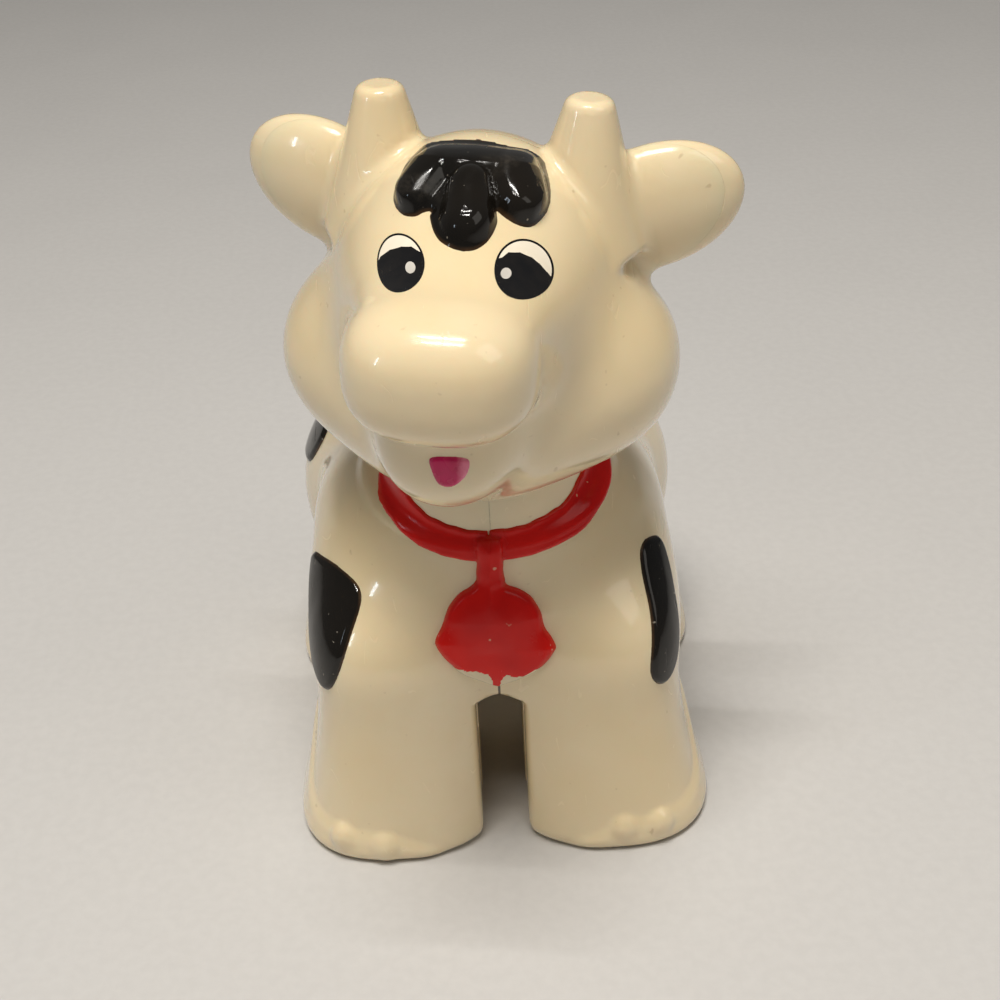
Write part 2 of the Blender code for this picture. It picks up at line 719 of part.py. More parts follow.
def raised_pad(
    name,
    distance,
    frame,
    outline,
    thickness,
    crown_share=0.0,
    middle=None,
    step_shares=PAD_STEP_SHARES,
    relief=None,
    lift=CLEARANCE,
):
    """A piece that lies on a skin: its outline is cast along the frame's -Z, and its middle is crowned."""
    outline = np.array(outline, dtype=float)
    middle = outline.mean(axis=0) if middle is None else np.array(middle)
    count = len(outline)
    flat = [middle + (outline - middle) * share for share in step_shares] + [middle[None, :]]
    flat = np.concatenate(flat)
    turn = np.array(frame.to_3x3())
    starts = np.column_stack([flat, np.zeros(len(flat))]) @ turn.T + np.array(frame.translation)
    seats = cast(starts, -turn[:, 2], distance)
    normals = slope(seats, distance, CLEARANCE)
    normals /= np.linalg.norm(normals, axis=1)[:, None]
    shares = np.concatenate([np.full(count, share) for share in step_shares] + [np.zeros(1)])
    crown = np.where(shares > 0.999, 1.0 - PAD_EDGE_SHARE, 1.0 + crown_share * (1.0 - shares**2))
    if relief is not None:
        crown = relief(flat, shares)
    under = seats + normals * lift
    over = seats + normals * (lift + thickness * crown)[:, None]
    total = len(flat)
    vertices = np.concatenate([over, under])
    faces = []
    for level in range(len(step_shares)):
        for k in range(count):
            m = (k + 1) % count
            a, b = level * count + k, level * count + m
            if level + 1 < len(step_shares):
                top = (a, b, b + count, a + count)
            else:
                top = (a, b, total - 1)
            faces.append(top)
            faces.append(tuple(total + i for i in reversed(top)))
    for k in range(count):
        m = (k + 1) % count
        faces.append((k, m, total + m, total + k))
    return solid(name, vertices, faces)


def finish(piece, colour, shine, place):
    """Material, shading and place of a finished piece."""
    material = bpy.data.materials.new(piece.name + "_material")
    material.use_nodes = True
    shader = material.node_tree.nodes["Principled BSDF"]
    shader.inputs["Base Color"].default_value = (*colour, 1.0)
    shader.inputs["Roughness"].default_value = 1.0 - shine
    piece.data.materials.clear()
    piece.data.materials.append(material)
    shape = bmesh.new()
    shape.from_mesh(piece.data)
    bmesh.ops.remove_doubles(shape, verts=shape.verts, dist=WELD_DISTANCE)
    bmesh.ops.dissolve_degenerate(shape, edges=shape.edges, dist=WELD_DISTANCE)
    bmesh.ops.triangulate(shape, faces=[f for f in shape.faces if len(f.verts) > 4])
    shape.to_mesh(piece.data)
    shape.free()
    piece.data.shade_smooth()
    piece.data.set_sharp_from_angle(angle=SHARP_ANGLE)
    piece.matrix_world = place
    return piece


def make_body_skins():
    """The body's outer skin and the space inside its wall, as tools for both halves."""
    across, along = scaled_by(BODY_SPACE_SHARES, (HIP_WIDTH, BODY_LENGTH))
    low = (-across, -along, -SOLE_EDGE_ROUND)
    high = (across, along, NECK_HEIGHT + NECK_STUB_LENGTH)
    outer = netted("body_skin", body_form, low, high, SKIN_CELL, SKIN_KEEP_SHARE)

    def inside(points):
        return smooth_cut(body_core(points) + BODY_WALL, points[:, 2] - BODY_WALL, SOLE_EDGE_ROUND)

    void = netted("body_void", inside, low, high, VOID_CELL, VOID_KEEP_SHARE)
    return outer, void


def belly_gaps(grow):
    """The gap between left and right legs, and the one between front and rear legs, grown by a wall."""
    across = CHANNEL_WIDTH / 2.0
    channel = ((-across, -BODY_LENGTH, -OVERRUN), (across, BODY_LENGTH, BELLY_HEIGHT))
    arch = (
        (-HIP_WIDTH, ARCH_PLACE - ARCH_LENGTH / 2.0 - grow, -OVERRUN),
        (HIP_WIDTH, ARCH_PLACE + ARCH_LENGTH / 2.0 + grow, BELLY_HEIGHT + grow),
    )
    return channel, arch


def pin_places():
    """Where the locating pins of the body halves stand, as (y, z)."""
    return [(y * BODY_LENGTH, z * BACK_HEIGHT) for y, z in BODY_PIN_SHARES]


def make_hollow_body(outer, void):
    """The whole body, hollow but for the walls, bosses and neck seat that stand inside it."""
    hollow = copy_of(void, "hollow")
    shelf = CHANNEL_WIDTH / 2.0 + COVER_THICKNESS + CLEARANCE
    seat = [(NECK_FOOT_DIAMETER / 2.0, OVERRUN), (NECK_FOOT_DIAMETER / 2.0, -NECK_STUB_LENGTH - BODY_WALL)]
    walls = [
        box("arch_wall", *belly_gaps(BODY_WALL)[1]),
        box(
            "shelf",
            (-shelf, -BODY_LENGTH, BELLY_HEIGHT - CLEARANCE),
            (shelf, BODY_LENGTH, BELLY_HEIGHT + BODY_WALL + CLEARANCE),
        ),
        turned("neck_seat", seat, BEARING_SIDES, NECK_FRAME),
    ]
    for y, z in pin_places():
        walls.append(rod("boss", (-HIP_WIDTH, y, z), (HIP_WIDTH, y, z), BOSS_DIAMETER / 2.0))
    combined(hollow, walls, "DIFFERENCE")
    body = copy_of(outer, "hollow_body")
    combined(body, [hollow], "DIFFERENCE")
    channel, arch = belly_gaps(0.0)
    return combined(body, [box("channel", *channel), box("arch", *arch)], "DIFFERENCE")


def make_body_half(name, side, body):
    half = copy_of(body, name)
    near, far = sorted((side * CLEARANCE / 2.0, side * HIP_WIDTH))
    keep = box("keep", (near, -BODY_LENGTH, 0.0), (far, BODY_LENGTH, NECK_HEIGHT + OVERRUN))
    combined(half, [keep], "INTERSECT")
    journal = NECK_JOURNAL_DIAMETER / 2.0 + CLEARANCE
    groove = NECK_FLANGE_DIAMETER / 2.0 + CLEARANCE
    top, bottom = -GROOVE_DEPTH, -GROOVE_DEPTH - GROOVE_HEIGHT
    bore = [
        (journal, OVERRUN),
        (journal, top),
        (groove, top),
        (groove, bottom),
        (journal, bottom),
        (journal, bottom - OVERRUN / 2.0),
    ]
    tools = [turned("bore", bore, BEARING_SIDES, NECK_FRAME)]
    for y, z in pin_places():
        if side < 0.0:
            end = -PIN_LENGTH - CLEARANCE
            tools.append(rod("hole", (end, y, z), (OVERRUN, y, z), PIN_DIAMETER / 2.0 + CLEARANCE))
    tail_hole = stretched(*tail_peg(), CLEARANCE)
    tools.append(rod("tail_hole", *tail_hole, PEG_DIAMETER / 2.0 + CLEARANCE, PEG_SIDES))
    combined(half, tools, "DIFFERENCE")
    if side > 0.0:
        ends = [((-PIN_LENGTH, y, z), (PIN_LENGTH, y, z)) for y, z in pin_places()]
        combined(half, [rod("pin", *pair, PIN_DIAMETER / 2.0) for pair in ends], "UNION")
    return finish(half, CREAM, BODY_SHINE, BODY_PLACE)


def make_leg_cover(name, side, end, void):
    """The flat plate that closes a hollow leg on its inner side."""
    cover = copy_of(void, name)
    low, high = CHANNEL_WIDTH / 2.0, CHANNEL_WIDTH / 2.0 + COVER_THICKNESS
    near, far = sorted((side * low, side * high))
    wall = ARCH_LENGTH / 2.0 + BODY_WALL + CLEARANCE
    first, last = sorted((ARCH_PLACE + end * wall, end * BODY_LENGTH))
    slab = box("slab", (near, first, 0.0), (far, last, BELLY_HEIGHT - CLEARANCE * 2.0))
    combined(cover, [slab], "INTERSECT")
    return finish(cover, INNER_CREAM, BODY_SHINE, BODY_PLACE)


def make_head_skins():
    """The head's outer skin and the space inside its wall, as tools for both halves."""
    low, high = (scaled_by(corner, (HEAD_WIDTH, HEAD_DEPTH, HEAD_HEIGHT)) for corner in HEAD_SPACE_SHARES)
    outer = netted("head_skin", head_form, low, high, SKIN_CELL, SKIN_KEEP_SHARE)

    def inside(points):
        return head_core(points) + HEAD_WALL

    void = netted("head_void", inside, low, high, VOID_CELL, VOID_KEEP_SHARE)
    return outer, void


def head_pin_ends():
    """Start and end of each locating pin of the head, square to the split between its halves."""
    ends = []
    for x, z in HEAD_PIN_SHARES:
        middle = Vector((x * HEAD_WIDTH, 0.0, z * HEAD_HEIGHT))
        ends.append((SPLIT_FRAME @ (middle + Vector((0.0, -1.0, 0.0)) * PIN_LENGTH), SPLIT_FRAME @ middle))
    return ends


def stretched(start, end, reach):
    """The two ends moved apart along their line by this reach."""
    step = (end - start).normalized() * reach
    return start - step, end + step


def make_hollow_head(outer, void):
    """The whole head, hollow but for the bosses and neck seat that stand inside it."""
    hollow = copy_of(void, "hollow")
    seat_top = GROOVE_DEPTH + GROOVE_HEIGHT + HEAD_WALL
    seat = [(NECK_TOP_DIAMETER / 2.0, -OVERRUN), (NECK_TOP_DIAMETER / 2.0, seat_top)]
    walls = [turned("neck_seat", seat, BEARING_SIDES, TILT_FRAME)]
    for start, end in head_pin_ends():
        walls.append(rod("boss", *stretched(start, end, HEAD_DEPTH), BOSS_DIAMETER / 2.0))
    combined(hollow, walls, "DIFFERENCE")
    head = copy_of(outer, "hollow_head")
    combined(head, [hollow], "DIFFERENCE")
    journal = NECK_JOURNAL_DIAMETER / 2.0 + CLEARANCE
    bore = [(journal, -OVERRUN), (journal, seat_top + OVERRUN / 4.0)]
    key = KEY_DIAMETER / 2.0 + CLEARANCE
    pocket = [(key, GROOVE_DEPTH), (key, GROOVE_DEPTH + GROOVE_HEIGHT)]
    cuts = [turned("bore", bore, BEARING_SIDES, TILT_FRAME), turned("pocket", pocket, KEY_SIDES, TILT_FRAME)]
    return combined(head, cuts, "DIFFERENCE")


def make_head_half(name, side, head):
    """One half shell of the head: side -1 is the face, and 1 the back."""
    half = copy_of(head, name)
    near, far = sorted((side * CLEARANCE / 2.0, side * HEAD_DEPTH * 2.0))
    reach = HEAD_WIDTH + EAR_LENGTH
    keep = box("keep", (-reach, near, -HEAD_HEIGHT), (reach, far, HEAD_HEIGHT * 2.0), SPLIT_FRAME)
    combined(half, [keep], "INTERSECT")
    if side > 0.0:
        pins = []
        for start, end in head_pin_ends():
            pins.append(rod("pin", start, end + (end - start) * PIN_ROOT_SHARE, PIN_DIAMETER / 2.0))
        return finish(combined(half, pins, "UNION"), CREAM, BODY_SHINE, HEAD_PLACE)
    holes = []
    for ends in head_pin_ends():
        holes.append(rod("hole", *stretched(*ends, CLEARANCE), PIN_DIAMETER / 2.0 + CLEARANCE))
    for ends in hair_pegs():
        holes.append(rod("peg_hole", *stretched(*ends, CLEARANCE), PEG_DIAMETER / 2.0 + CLEARANCE))
    return finish(combined(half, holes, "DIFFERENCE"), CREAM, BODY_SHINE, HEAD_PLACE)


def make_neck_spool():
    """The bobbin in the neck: a round flange turns in the body, and a six-sided one is keyed in the head."""
    journal = NECK_JOURNAL_DIAMETER / 2.0
    flange = NECK_FLANGE_DIAMETER / 2.0
    bore = NECK_BORE_DIAMETER / 2.0
    low = -GROOVE_DEPTH - GROOVE_HEIGHT + CLEARANCE
    high = -GROOVE_DEPTH - CLEARANCE
    key_low = GROOVE_DEPTH + CLEARANCE
    key_high = GROOVE_DEPTH + GROOVE_HEIGHT - CLEARANCE
    foot = [(bore, low), (flange, low), (flange, high)]
    ring = foot + [(journal, high), (journal, key_high), (bore, key_high)]
    spool = turned("neck_spool", ring, BEARING_SIDES, TILT_FRAME, loop=True)
    inner = journal - BODY_WALL * KEY_WALL_SHARE
    key = [(inner, key_low), (KEY_DIAMETER / 2.0, key_low), (KEY_DIAMETER / 2.0, key_high), (inner, key_high)]
    combined(spool, [turned("key", key, KEY_SIDES, TILT_FRAME, loop=True)], "UNION")
    return finish(spool, INNER_CREAM, BODY_SHINE, HEAD_PLACE)


def face_point(u_share, v_share):
    """A place on the face's own drawing plane, from shares of the head's width and height."""
    return (u_share * HEAD_WIDTH, v_share * HEAD_HEIGHT)


def hair_pegs():
    """Start and end of the two pegs that hold the hair tuft in the face shell."""
    ends = []
    for u_share, v_share in HAIR_PEG_SHARES:
        u, v = face_point(u_share, v_share)
        inward = FACE_FRAME.to_3x3() @ Vector((0.0, 0.0, -1.0))
        seat = Vector(cast([FACE_FRAME @ Vector((u, v, 0.0))], inward, head_form)[0])
        head = seat - inward * (CLEARANCE + PEG_DIAMETER * PEG_HEAD_SHARE)
        ends.append((head, seat + inward * (HEAD_WALL + CLEARANCE)))
    return ends


def hair_relief(flat, shares):
    """Height of the tuft as a share of its thickness: three rounded locks with grooves between them."""
    height = np.zeros(len(flat))
    for start, end in HAIR_LOCK_SHARES:
        start, end = np.array(face_point(*start)), np.array(face_point(*end))
        way = end - start
        along = np.clip((flat - start) @ way / (way @ way), 0.0, 1.0)
        away = np.linalg.norm(flat - start - along[:, None] * way, axis=1) / (HAIR_LOCK_WIDTH / 2.0)
        height = np.maximum(height, np.sqrt(np.maximum(1.0 - away**2, 0.0)))
    return HAIR_LOW_SHARE + (1.0 - HAIR_LOW_SHARE) * height * (1.0 - shares**8)


def make_hair():
    """The raised tuft of three locks, held by two pegs."""
    outline = smooth_ring([face_point(u, v) for u, v in HAIR_OUTLINE_SHARES], 2)
    hair = raised_pad(
        "hair_tuft",
        head_form,
        FACE_FRAME,
        outline,
        HAIR_THICKNESS,
        middle=face_point(*HAIR_MIDDLE_SHARES),
        step_shares=HAIR_STEP_SHARES,
        relief=hair_relief,
    )
    combined(hair, [rod("peg", *ends, PEG_DIAMETER / 2.0, PEG_SIDES) for ends in hair_pegs()], "UNION")
    return finish(hair, BLACK, PAINT_SHINE, HEAD_PLACE)


def make_eye(name, side):
    """A thin printed oval; the pair is printed a little off the middle."""
    middle = np.array(face_point(side * EYE_PLACE_SHARES[0] + EYE_SHIFT_SHARE, EYE_PLACE_SHARES[1]))
    outline = []
    for k in range(EYE_SIDES):
        angle = math.tau * k / EYE_SIDES
        outline.append(middle + np.array((EYE_WIDTH * math.cos(angle), EYE_HEIGHT * math.sin(angle))) / 2.0)
    pad = raised_pad(name, head_form, FACE_FRAME, outline, PRINT_THICKNESS)
    return finish(pad, BLACK, PAINT_SHINE, HEAD_PLACE)


def make_tongue():
    outline = [face_point(u, v) for u, v in TONGUE_SHARES]
    pad = raised_pad("tongue", head_form, MOUTH_FRAME, smooth_ring(outline, 2), PRINT_THICKNESS)
    return finish(pad, PINK, PAINT_SHINE, HEAD_PLACE)


def side_point(u_share, v_share):
    """A place on a side's drawing plane, from shares of the body's length and height."""
    return (u_share * BODY_LENGTH, v_share * BACK_HEIGHT)


def make_patch(name, side, facing, outline_shares):
    """A raised black spot on the body's side; u runs towards the cow's front."""
    turn = Matrix.Rotation(side * facing, 4, "Z") @ Matrix.Rotation(UPRIGHT, 4, "X")
    frame = Matrix.Translation(turn.to_3x3() @ Vector((0.0, 0.0, BODY_LENGTH))) @ turn
    outline = [side_point(-side * u, v) for u, v in outline_shares]
    pad = raised_pad(name, body_form, frame, smooth_ring(outline, 2), PATCH_THICKNESS)
    return finish(pad, BLACK, PAINT_SHINE, BODY_PLACE)


def make_bell_half(side):
    """Half of the bell, from the seam outwards; its stem reaches up under the collar."""
    outline = []
    for u, v in BELL_SHARES:
        outline.append((side * max(u * BELL_WIDTH, CLEARANCE / 2.0), v * BELL_HEIGHT + BELL_FOOT))
    middle = (side * BELL_MIDDLE_SHARES[0] * BELL_WIDTH, BELL_MIDDLE_SHARES[1] * BELL_HEIGHT + BELL_FOOT)
    return raised_pad(
        "bell",
        body_form,
        CHEST_FRAME,
        outline,
        BELL_THICKNESS,
        BELL_CROWN_SHARE,
        middle=middle,
        lift=CLEARANCE * BELL_LIFT_SHARE,
    )


def make_collar_half(name, side):
    """Half of the raised red band round the neck stub, with its half of the bell below."""
    steps = np.linspace(0.0, 1.0, COLLAR_STEPS + 1)
    margin = math.asin(CLEARANCE / NECK_TOP_DIAMETER)
    angles = -math.pi / 2.0 + side * (margin + (math.pi - 2.0 * margin) * steps)
    heights = -TURNING_GAP - COLLAR_SETBACK - COLLAR_WIDTH * np.array(COLLAR_SECTION_SHARES)
    section = np.array(COLLAR_RISE_SHARES) * COLLAR_THICKNESS
    turn = np.array(NECK_FRAME.to_3x3())
    centre = np.array(NECK_FRAME.translation)
    starts, ways = [], []
    for angle in angles:
        out = turn @ np.array((math.cos(angle), math.sin(angle), 0.0))
        for height in heights:
            starts.append(centre + turn[:, 2] * height + out * NECK_FOOT_DIAMETER)
            ways.append(-out)
    seats = cast(starts, ways, body_form)
    normals = -np.array(ways)
    rows, columns = len(angles), len(heights)
    under = seats + normals * CLEARANCE * COLLAR_LIFT_SHARE
    over = under + normals * np.tile(section, rows)[:, None]
    total = rows * columns
    faces = []
    for i in range(rows - 1):
        for j in range(columns - 1):
            a, b = i * columns + j, (i + 1) * columns + j
            faces.append((a, b, b + 1, a + 1))
            faces.append((total + a, total + a + 1, total + b + 1, total + b))
        for j in (0, columns - 1):
            a, b = i * columns + j, (i + 1) * columns + j
            faces.append((a, b, total + b, total + a))
    for i in (0, rows - 1):
        for j in range(columns - 1):
            a = i * columns + j
            faces.append((a, a + 1, total + a + 1, total + a))
    band = solid(name, np.concatenate([over, under]), faces)
    combined(band, [make_bell_half(side)], "UNION")
    return finish(band, RED, PAINT_SHINE, BODY_PLACE)


def tube(name, path, sides=PEG_SIDES):
    """A round solid along a path of (centre, radius) pairs, with flat ends."""
    centres = [Vector(centre) for centre, radius in path]
    vertices, faces = [], []
    for i, (centre, radius) in enumerate(path):
        ahead = centres[min(i + 1, len(path) - 1)] - centres[max(i - 1, 0)]
        across = Vector((1.0, 0.0, 0.0))
        other = ahead.normalized().cross(across)
        for k in range(sides):
            angle = math.tau * k / sides
            vertices.append(centres[i] + (across * math.cos(angle) + other * math.sin(angle)) * radius)
    for i in range(len(path) - 1):
        for k in range(sides):
            m = (k + 1) % sides
            faces.append((i * sides + k, i * sides + m, (i + 1) * sides + m, (i + 1) * sides + k))
    faces.append(tuple(range(sides)))
    faces.append(tuple((len(path) - 1) * sides + k for k in range(sides)))
    return solid(name, vertices, faces)


def rump_place(height, away):
    """A place on the seam this far behind the rump's skin."""
    seat = cast([(0.0, BODY_LENGTH, height)], (0.0, -1.0, 0.0), body_form)[0]
    return Vector(seat) + Vector((0.0, away, 0.0))


def tail_path(first, last, steps, width):
    """Centres and radii down the rump between two heights; width gives each radius from a share."""
    path = []
    for step in range(steps + 1):
        share = step / steps
        radius = width(share)
        path.append((rump_place(first + (last - first) * share, radius + CLEARANCE * 2.0), radius))
    return path


def tail_peg():
    """Start and end of the peg that holds the tail in the rump."""
    outside = rump_place(TAIL_ROOT_HEIGHT, CLEARANCE)
    inner = outside - Vector((0.0, BODY_WALL + TAIL_DIAMETER, 0.0))
    return inner, outside + Vector((0.0, TAIL_DIAMETER / 2.0, 0.0))


def make_tail():
    """A tapered tail that hangs down the rump from a peg in the seam."""
    half = TAIL_DIAMETER / 2.0
    first = TAIL_ROOT_HEIGHT + half

    def width(share):
        return half * (1.0 - TAIL_TAPER_SHARE * share)

    tail = tube("tail", tail_path(first, first - TAIL_LENGTH, TAIL_STEPS, width))
    combined(tail, [rod("peg", *tail_peg(), PEG_DIAMETER / 2.0, PEG_SIDES)], "UNION")
    return finish(tail, CREAM, BODY_SHINE, BODY_PLACE)


def make_tail_tuft():
    """The black drop-shaped end of the tail."""
    top = TAIL_ROOT_HEIGHT + TAIL_DIAMETER / 2.0 - TAIL_LENGTH - CLEARANCE * TUFT_GAP_SHARE
    root = TAIL_DIAMETER / 2.0 * (1.0 - TAIL_TAPER_SHARE)

    def width(share):
        swell = math.sin(math.pi * min(share * TUFT_SWELL_SHARES[0], 1.0) ** TUFT_SWELL_SHARES[1])
        return root * (1.0 - TUFT_ROOT_SHARE * share) + (TUFT_DIAMETER / 2.0 - root) * max(swell, 0.0)

    tuft = tube("tail_tuft", tail_path(top, top - TUFT_LENGTH, TAIL_STEPS, width))
    return finish(tuft, BLACK, PAINT_SHINE, BODY_PLACE)


def make_all():
    for piece in list(bpy.data.objects):
        bpy.data.objects.remove(piece)
    outer, void = make_body_skins()
    body = make_hollow_body(outer, void)
    pieces = [
        make_body_half("body_shell_left", 1.0, body),
        make_body_half("body_shell_right", -1.0, body),
    ]
    for end, end_name in ((-1.0, "front"), (1.0, "rear")):
        for side, side_name in ((1.0, "left"), (-1.0, "right")):
            pieces.append(make_leg_cover(f"leg_cover_{end_name}_{side_name}", side, end, void))
    head_outer, head_void = make_head_skins()
    head = make_hollow_head(head_outer, head_void)
    pieces += [
        make_neck_spool(),
        make_head_half("face_shell", -1.0, head),
        make_head_half("rear_head_shell", 1.0, head),
        make_hair(),
        make_eye("eye_left", 1.0),
        make_eye("eye_right", -1.0),
        make_tongue(),
        make_collar_half("collar_bell_left", 1.0),
        make_collar_half("collar_bell_right", -1.0),
        make_patch("shoulder_patch_left", 1.0, SHOULDER_FACING, BAR_PATCH_SHARES),
        make_patch("shoulder_patch_right", -1.0, SHOULDER_FACING, BROAD_PATCH_SHARES),
        make_patch("hip_patch_left", 1.0, REAR_FACING, LOW_PATCH_SHARES),
        make_patch("hip_patch_right", -1.0, HIP_FACING, HIGH_PATCH_SHARES),
        make_tail(),
        make_tail_tuft(),
    ]
    for tool in (outer, void, body, head_outer, head_void, head):
        bpy.data.objects.remove(tool)
    bpy.context.view_layer.update()
    corners = [piece.matrix_world @ Vector(v.co) for piece in pieces for v in piece.data.vertices]
    middle = [(min(c[i] for c in corners) + max(c[i] for c in corners)) / 2.0 for i in range(3)]
    shift = Matrix.Translation((-middle[0], -middle[1], -min(c.z for c in corners)))
    for piece in pieces:
        piece.matrix_world = shift @ piece.matrix_world
    bpy.context.view_layer.update()


make_all()
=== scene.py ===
import json
import math
import bmesh
import bpy
import numpy as np
from mathutils import Matrix, Vector


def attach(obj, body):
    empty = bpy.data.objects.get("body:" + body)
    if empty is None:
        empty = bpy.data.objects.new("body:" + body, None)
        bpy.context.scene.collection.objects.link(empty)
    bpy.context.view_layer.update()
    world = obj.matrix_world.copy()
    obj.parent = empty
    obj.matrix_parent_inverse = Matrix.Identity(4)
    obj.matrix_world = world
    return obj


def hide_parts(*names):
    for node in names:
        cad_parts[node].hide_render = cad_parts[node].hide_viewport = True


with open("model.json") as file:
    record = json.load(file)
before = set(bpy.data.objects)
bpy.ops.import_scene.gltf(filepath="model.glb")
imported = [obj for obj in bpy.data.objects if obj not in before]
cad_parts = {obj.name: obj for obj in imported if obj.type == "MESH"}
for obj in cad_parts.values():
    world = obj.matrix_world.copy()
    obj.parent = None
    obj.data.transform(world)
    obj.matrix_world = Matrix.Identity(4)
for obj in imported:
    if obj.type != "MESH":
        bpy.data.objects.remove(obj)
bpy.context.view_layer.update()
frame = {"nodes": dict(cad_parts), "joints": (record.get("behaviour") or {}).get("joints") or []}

MM = 0.001
CLEARANCE = 0.3 * MM
RAY_STEPS = 30
RAY_STEP_SHARE = 0.7

# Sizes and forms as in the CAD, with some of the sizes measured once more on the photograph
# Body: overall sizes. Lengths run along Y, widths along X
BODY_LENGTH = 78.0 * MM
HIP_WIDTH = 66.0 * MM
BACK_HEIGHT = 64.0 * MM
BELLY_HEIGHT = 28.2 * MM

# Legs and hooves
LEG_WIDTH = 29.0 * MM
LEG_DEPTH = 30.0 * MM
LEG_PITCH = 45.0 * MM
FRONT_LEG_PITCH = 29.5 * MM
REAR_LEG_PITCH = 34.6 * MM
HOOF_FLARE = 5.1 * MM
HOOF_STEP = 0.45 * MM
HOOF_EDGE = 1.5 * MM
HOOF_TOP_HEIGHT = 19.0 * MM
HOOF_LOW_SHARE = 0.27
HOOF_FADE_SHARES = (0.3, 0.35)
HOOF_LINE_PLACE_SHARE = 0.15
HOOF_LINE_STEEPNESS = 2.6
HOOF_SPREAD_POWER = 1.7
SOLE_EDGE_ROUND = 3.0 * MM

# The gaps under the belly
CHANNEL_WIDTH = 7.2 * MM
ARCH_LENGTH = 13.0 * MM
ARCH_SHIFT_SHARE = 0.06

# Neck: a tilted axis that the head turns on
NECK_PLACE_SHARES = (0.218, 1.078)
NECK_TOP_DIAMETER = 29.0 * MM
NECK_FOOT_DIAMETER = 33.6 * MM
NECK_STUB_LENGTH = 9.5 * MM
HEAD_SKIRT_LENGTH = 11.0 * MM
TURNING_GAP = 0.9 * MM
NECK_TILT = math.radians(13.0)
HEAD_TURN = math.radians(-12.5)

# Head: overall sizes, measured from the neck's pivot
HEAD_WIDTH = 56.0 * MM
HEAD_DEPTH = 46.0 * MM
HEAD_HEIGHT = 45.5 * MM
MUZZLE_WIDTH = 25.4 * MM
MUZZLE_LENGTH = 26.0 * MM
MUZZLE_HEIGHT = 19.0 * MM
HORN_LENGTH = 20.6 * MM
HORN_BASE_DIAMETER = 18.6 * MM
HORN_TIP_DIAMETER = 6.3 * MM
HORN_PITCH = 27.3 * MM
EAR_LENGTH = 26.0 * MM
EAR_WIDTH = 18.0 * MM
EAR_THICKNESS = 8.6 * MM

# Blends between neighbouring lumps of one moulding
TORSO_BLEND = 9.0 * MM
LEG_BLEND = 7.0 * MM
HEAD_BLEND = 7.0 * MM
MUZZLE_BLEND = 9.0 * MM
EAR_BLEND = 3.4 * MM
HORN_BLEND = 1.8 * MM
RIM_BLEND = 1.5 * MM

# Shares of the sizes above, where one lump stops inside another or an edge is rounded
LEG_CAP_SHARE = 0.71
CAP_BLEND_SHARE = 2.0
NECK_ROOT_SHARE = 1.18
NECK_ROOT_DEPTH_SHARE = 2.0
EDGE_BLEND_SHARE = 0.5
SOLE_SINK_SHARE = 0.03
EAR_SHIFT_SHARE = 0.12
HORN_EDGE_SHARE = 0.2
SETTLE_SHARES = (0.05, 0.4)

# Lumps as shares of width, length and height: a centre and radii
TORSO_LUMP_SHARES = {
    "barrel": ((0.0, 0.05, 0.70), (0.412, 0.42, 0.28)),
    "hips": ((0.0, 0.24, 0.626), (0.467, 0.25, 0.40)),
}
CHEST_LUMP_SHARES = ((0.0, -0.153, 0.618), (0.414, 0.234, 0.36))
CHEST_SQUARENESS = 2.4
HEAD_LUMP_SHARES = {
    "cranium": ((0.0, -0.125, 0.534), (0.361, 0.475, 0.486)),
    "cheek_left": ((0.275, -0.06, 0.298), (0.241, 0.36, 0.294)),
    "cheek_right": ((-0.275, -0.06, 0.298), (0.241, 0.36, 0.294)),
    "jaw": ((0.0, -0.20, 0.203), (0.338, 0.393, 0.2985)),
}
MUZZLE_PLACE_SHARES = (0.012, -0.683, 0.60)
CHIN_LUMP_SHARES = ((0.0, -0.56, 0.26), (0.17, 0.22, 0.19))
HORN_PLACE_SHARES = (0.5, -0.015, 0.677)
HORN_LEAN = math.radians(2.0)
EAR_PLACE_SHARES = (0.364, 0.062, 0.743)
EAR_RISE = math.radians(20.0)
EAR_SWEEP = math.radians(12.0)
LEG_SQUARENESS = 2.6
MUZZLE_SQUARENESS = 2.6

# Raised and printed details
PATCH_THICKNESS = 0.6 * MM
TAIL_DIAMETER = 4.6 * MM
TAIL_LENGTH = 14.0 * MM
TAIL_ROOT_SHARE = 0.844
TUFT_LENGTH = 9.5 * MM
TAIL_TAPER_SHARE = 0.35

# Outlines as shares of the body's length and height, seen square to the side; u runs forwards
SHOULDER_FACING = math.radians(53.0)
HIP_FACING = math.radians(100.0)
REAR_FACING = math.radians(135.0)
BROAD_PATCH_SHARES = (
    (-0.05, 0.72),
    (0.01, 0.745),
    (0.065, 0.75),
    (0.125, 0.735),
    (0.155, 0.69),
    (0.172, 0.60),
    (0.155, 0.52),
    (0.12, 0.485),
    (0.065, 0.52),
    (0.0, 0.61),
    (-0.045, 0.68),
)
BAR_PATCH_SHARES = (
    (0.035, 0.765),
    (0.065, 0.76),
    (0.087, 0.735),
    (0.122, 0.68),
    (0.167, 0.60),
    (0.186, 0.53),
    (0.176, 0.485),
    (0.15, 0.465),
    (0.115, 0.485),
    (0.075, 0.55),
    (0.04, 0.615),
    (0.005, 0.68),
    (-0.005, 0.74),
)
LOW_PATCH_SHARES = (
    (-0.27, 0.60),
    (-0.22, 0.68),
    (-0.14, 0.70),
    (-0.07, 0.66),
    (-0.03, 0.58),
    (-0.09, 0.50),
    (-0.18, 0.48),
    (-0.25, 0.53),
)
HIGH_PATCH_SHARES = (
    (-0.34, 0.78),
    (-0.28, 0.87),
    (-0.20, 0.90),
    (-0.12, 0.88),
    (-0.07, 0.80),
    (-0.10, 0.70),
    (-0.19, 0.68),
    (-0.27, 0.64),
    (-0.35, 0.67),
)

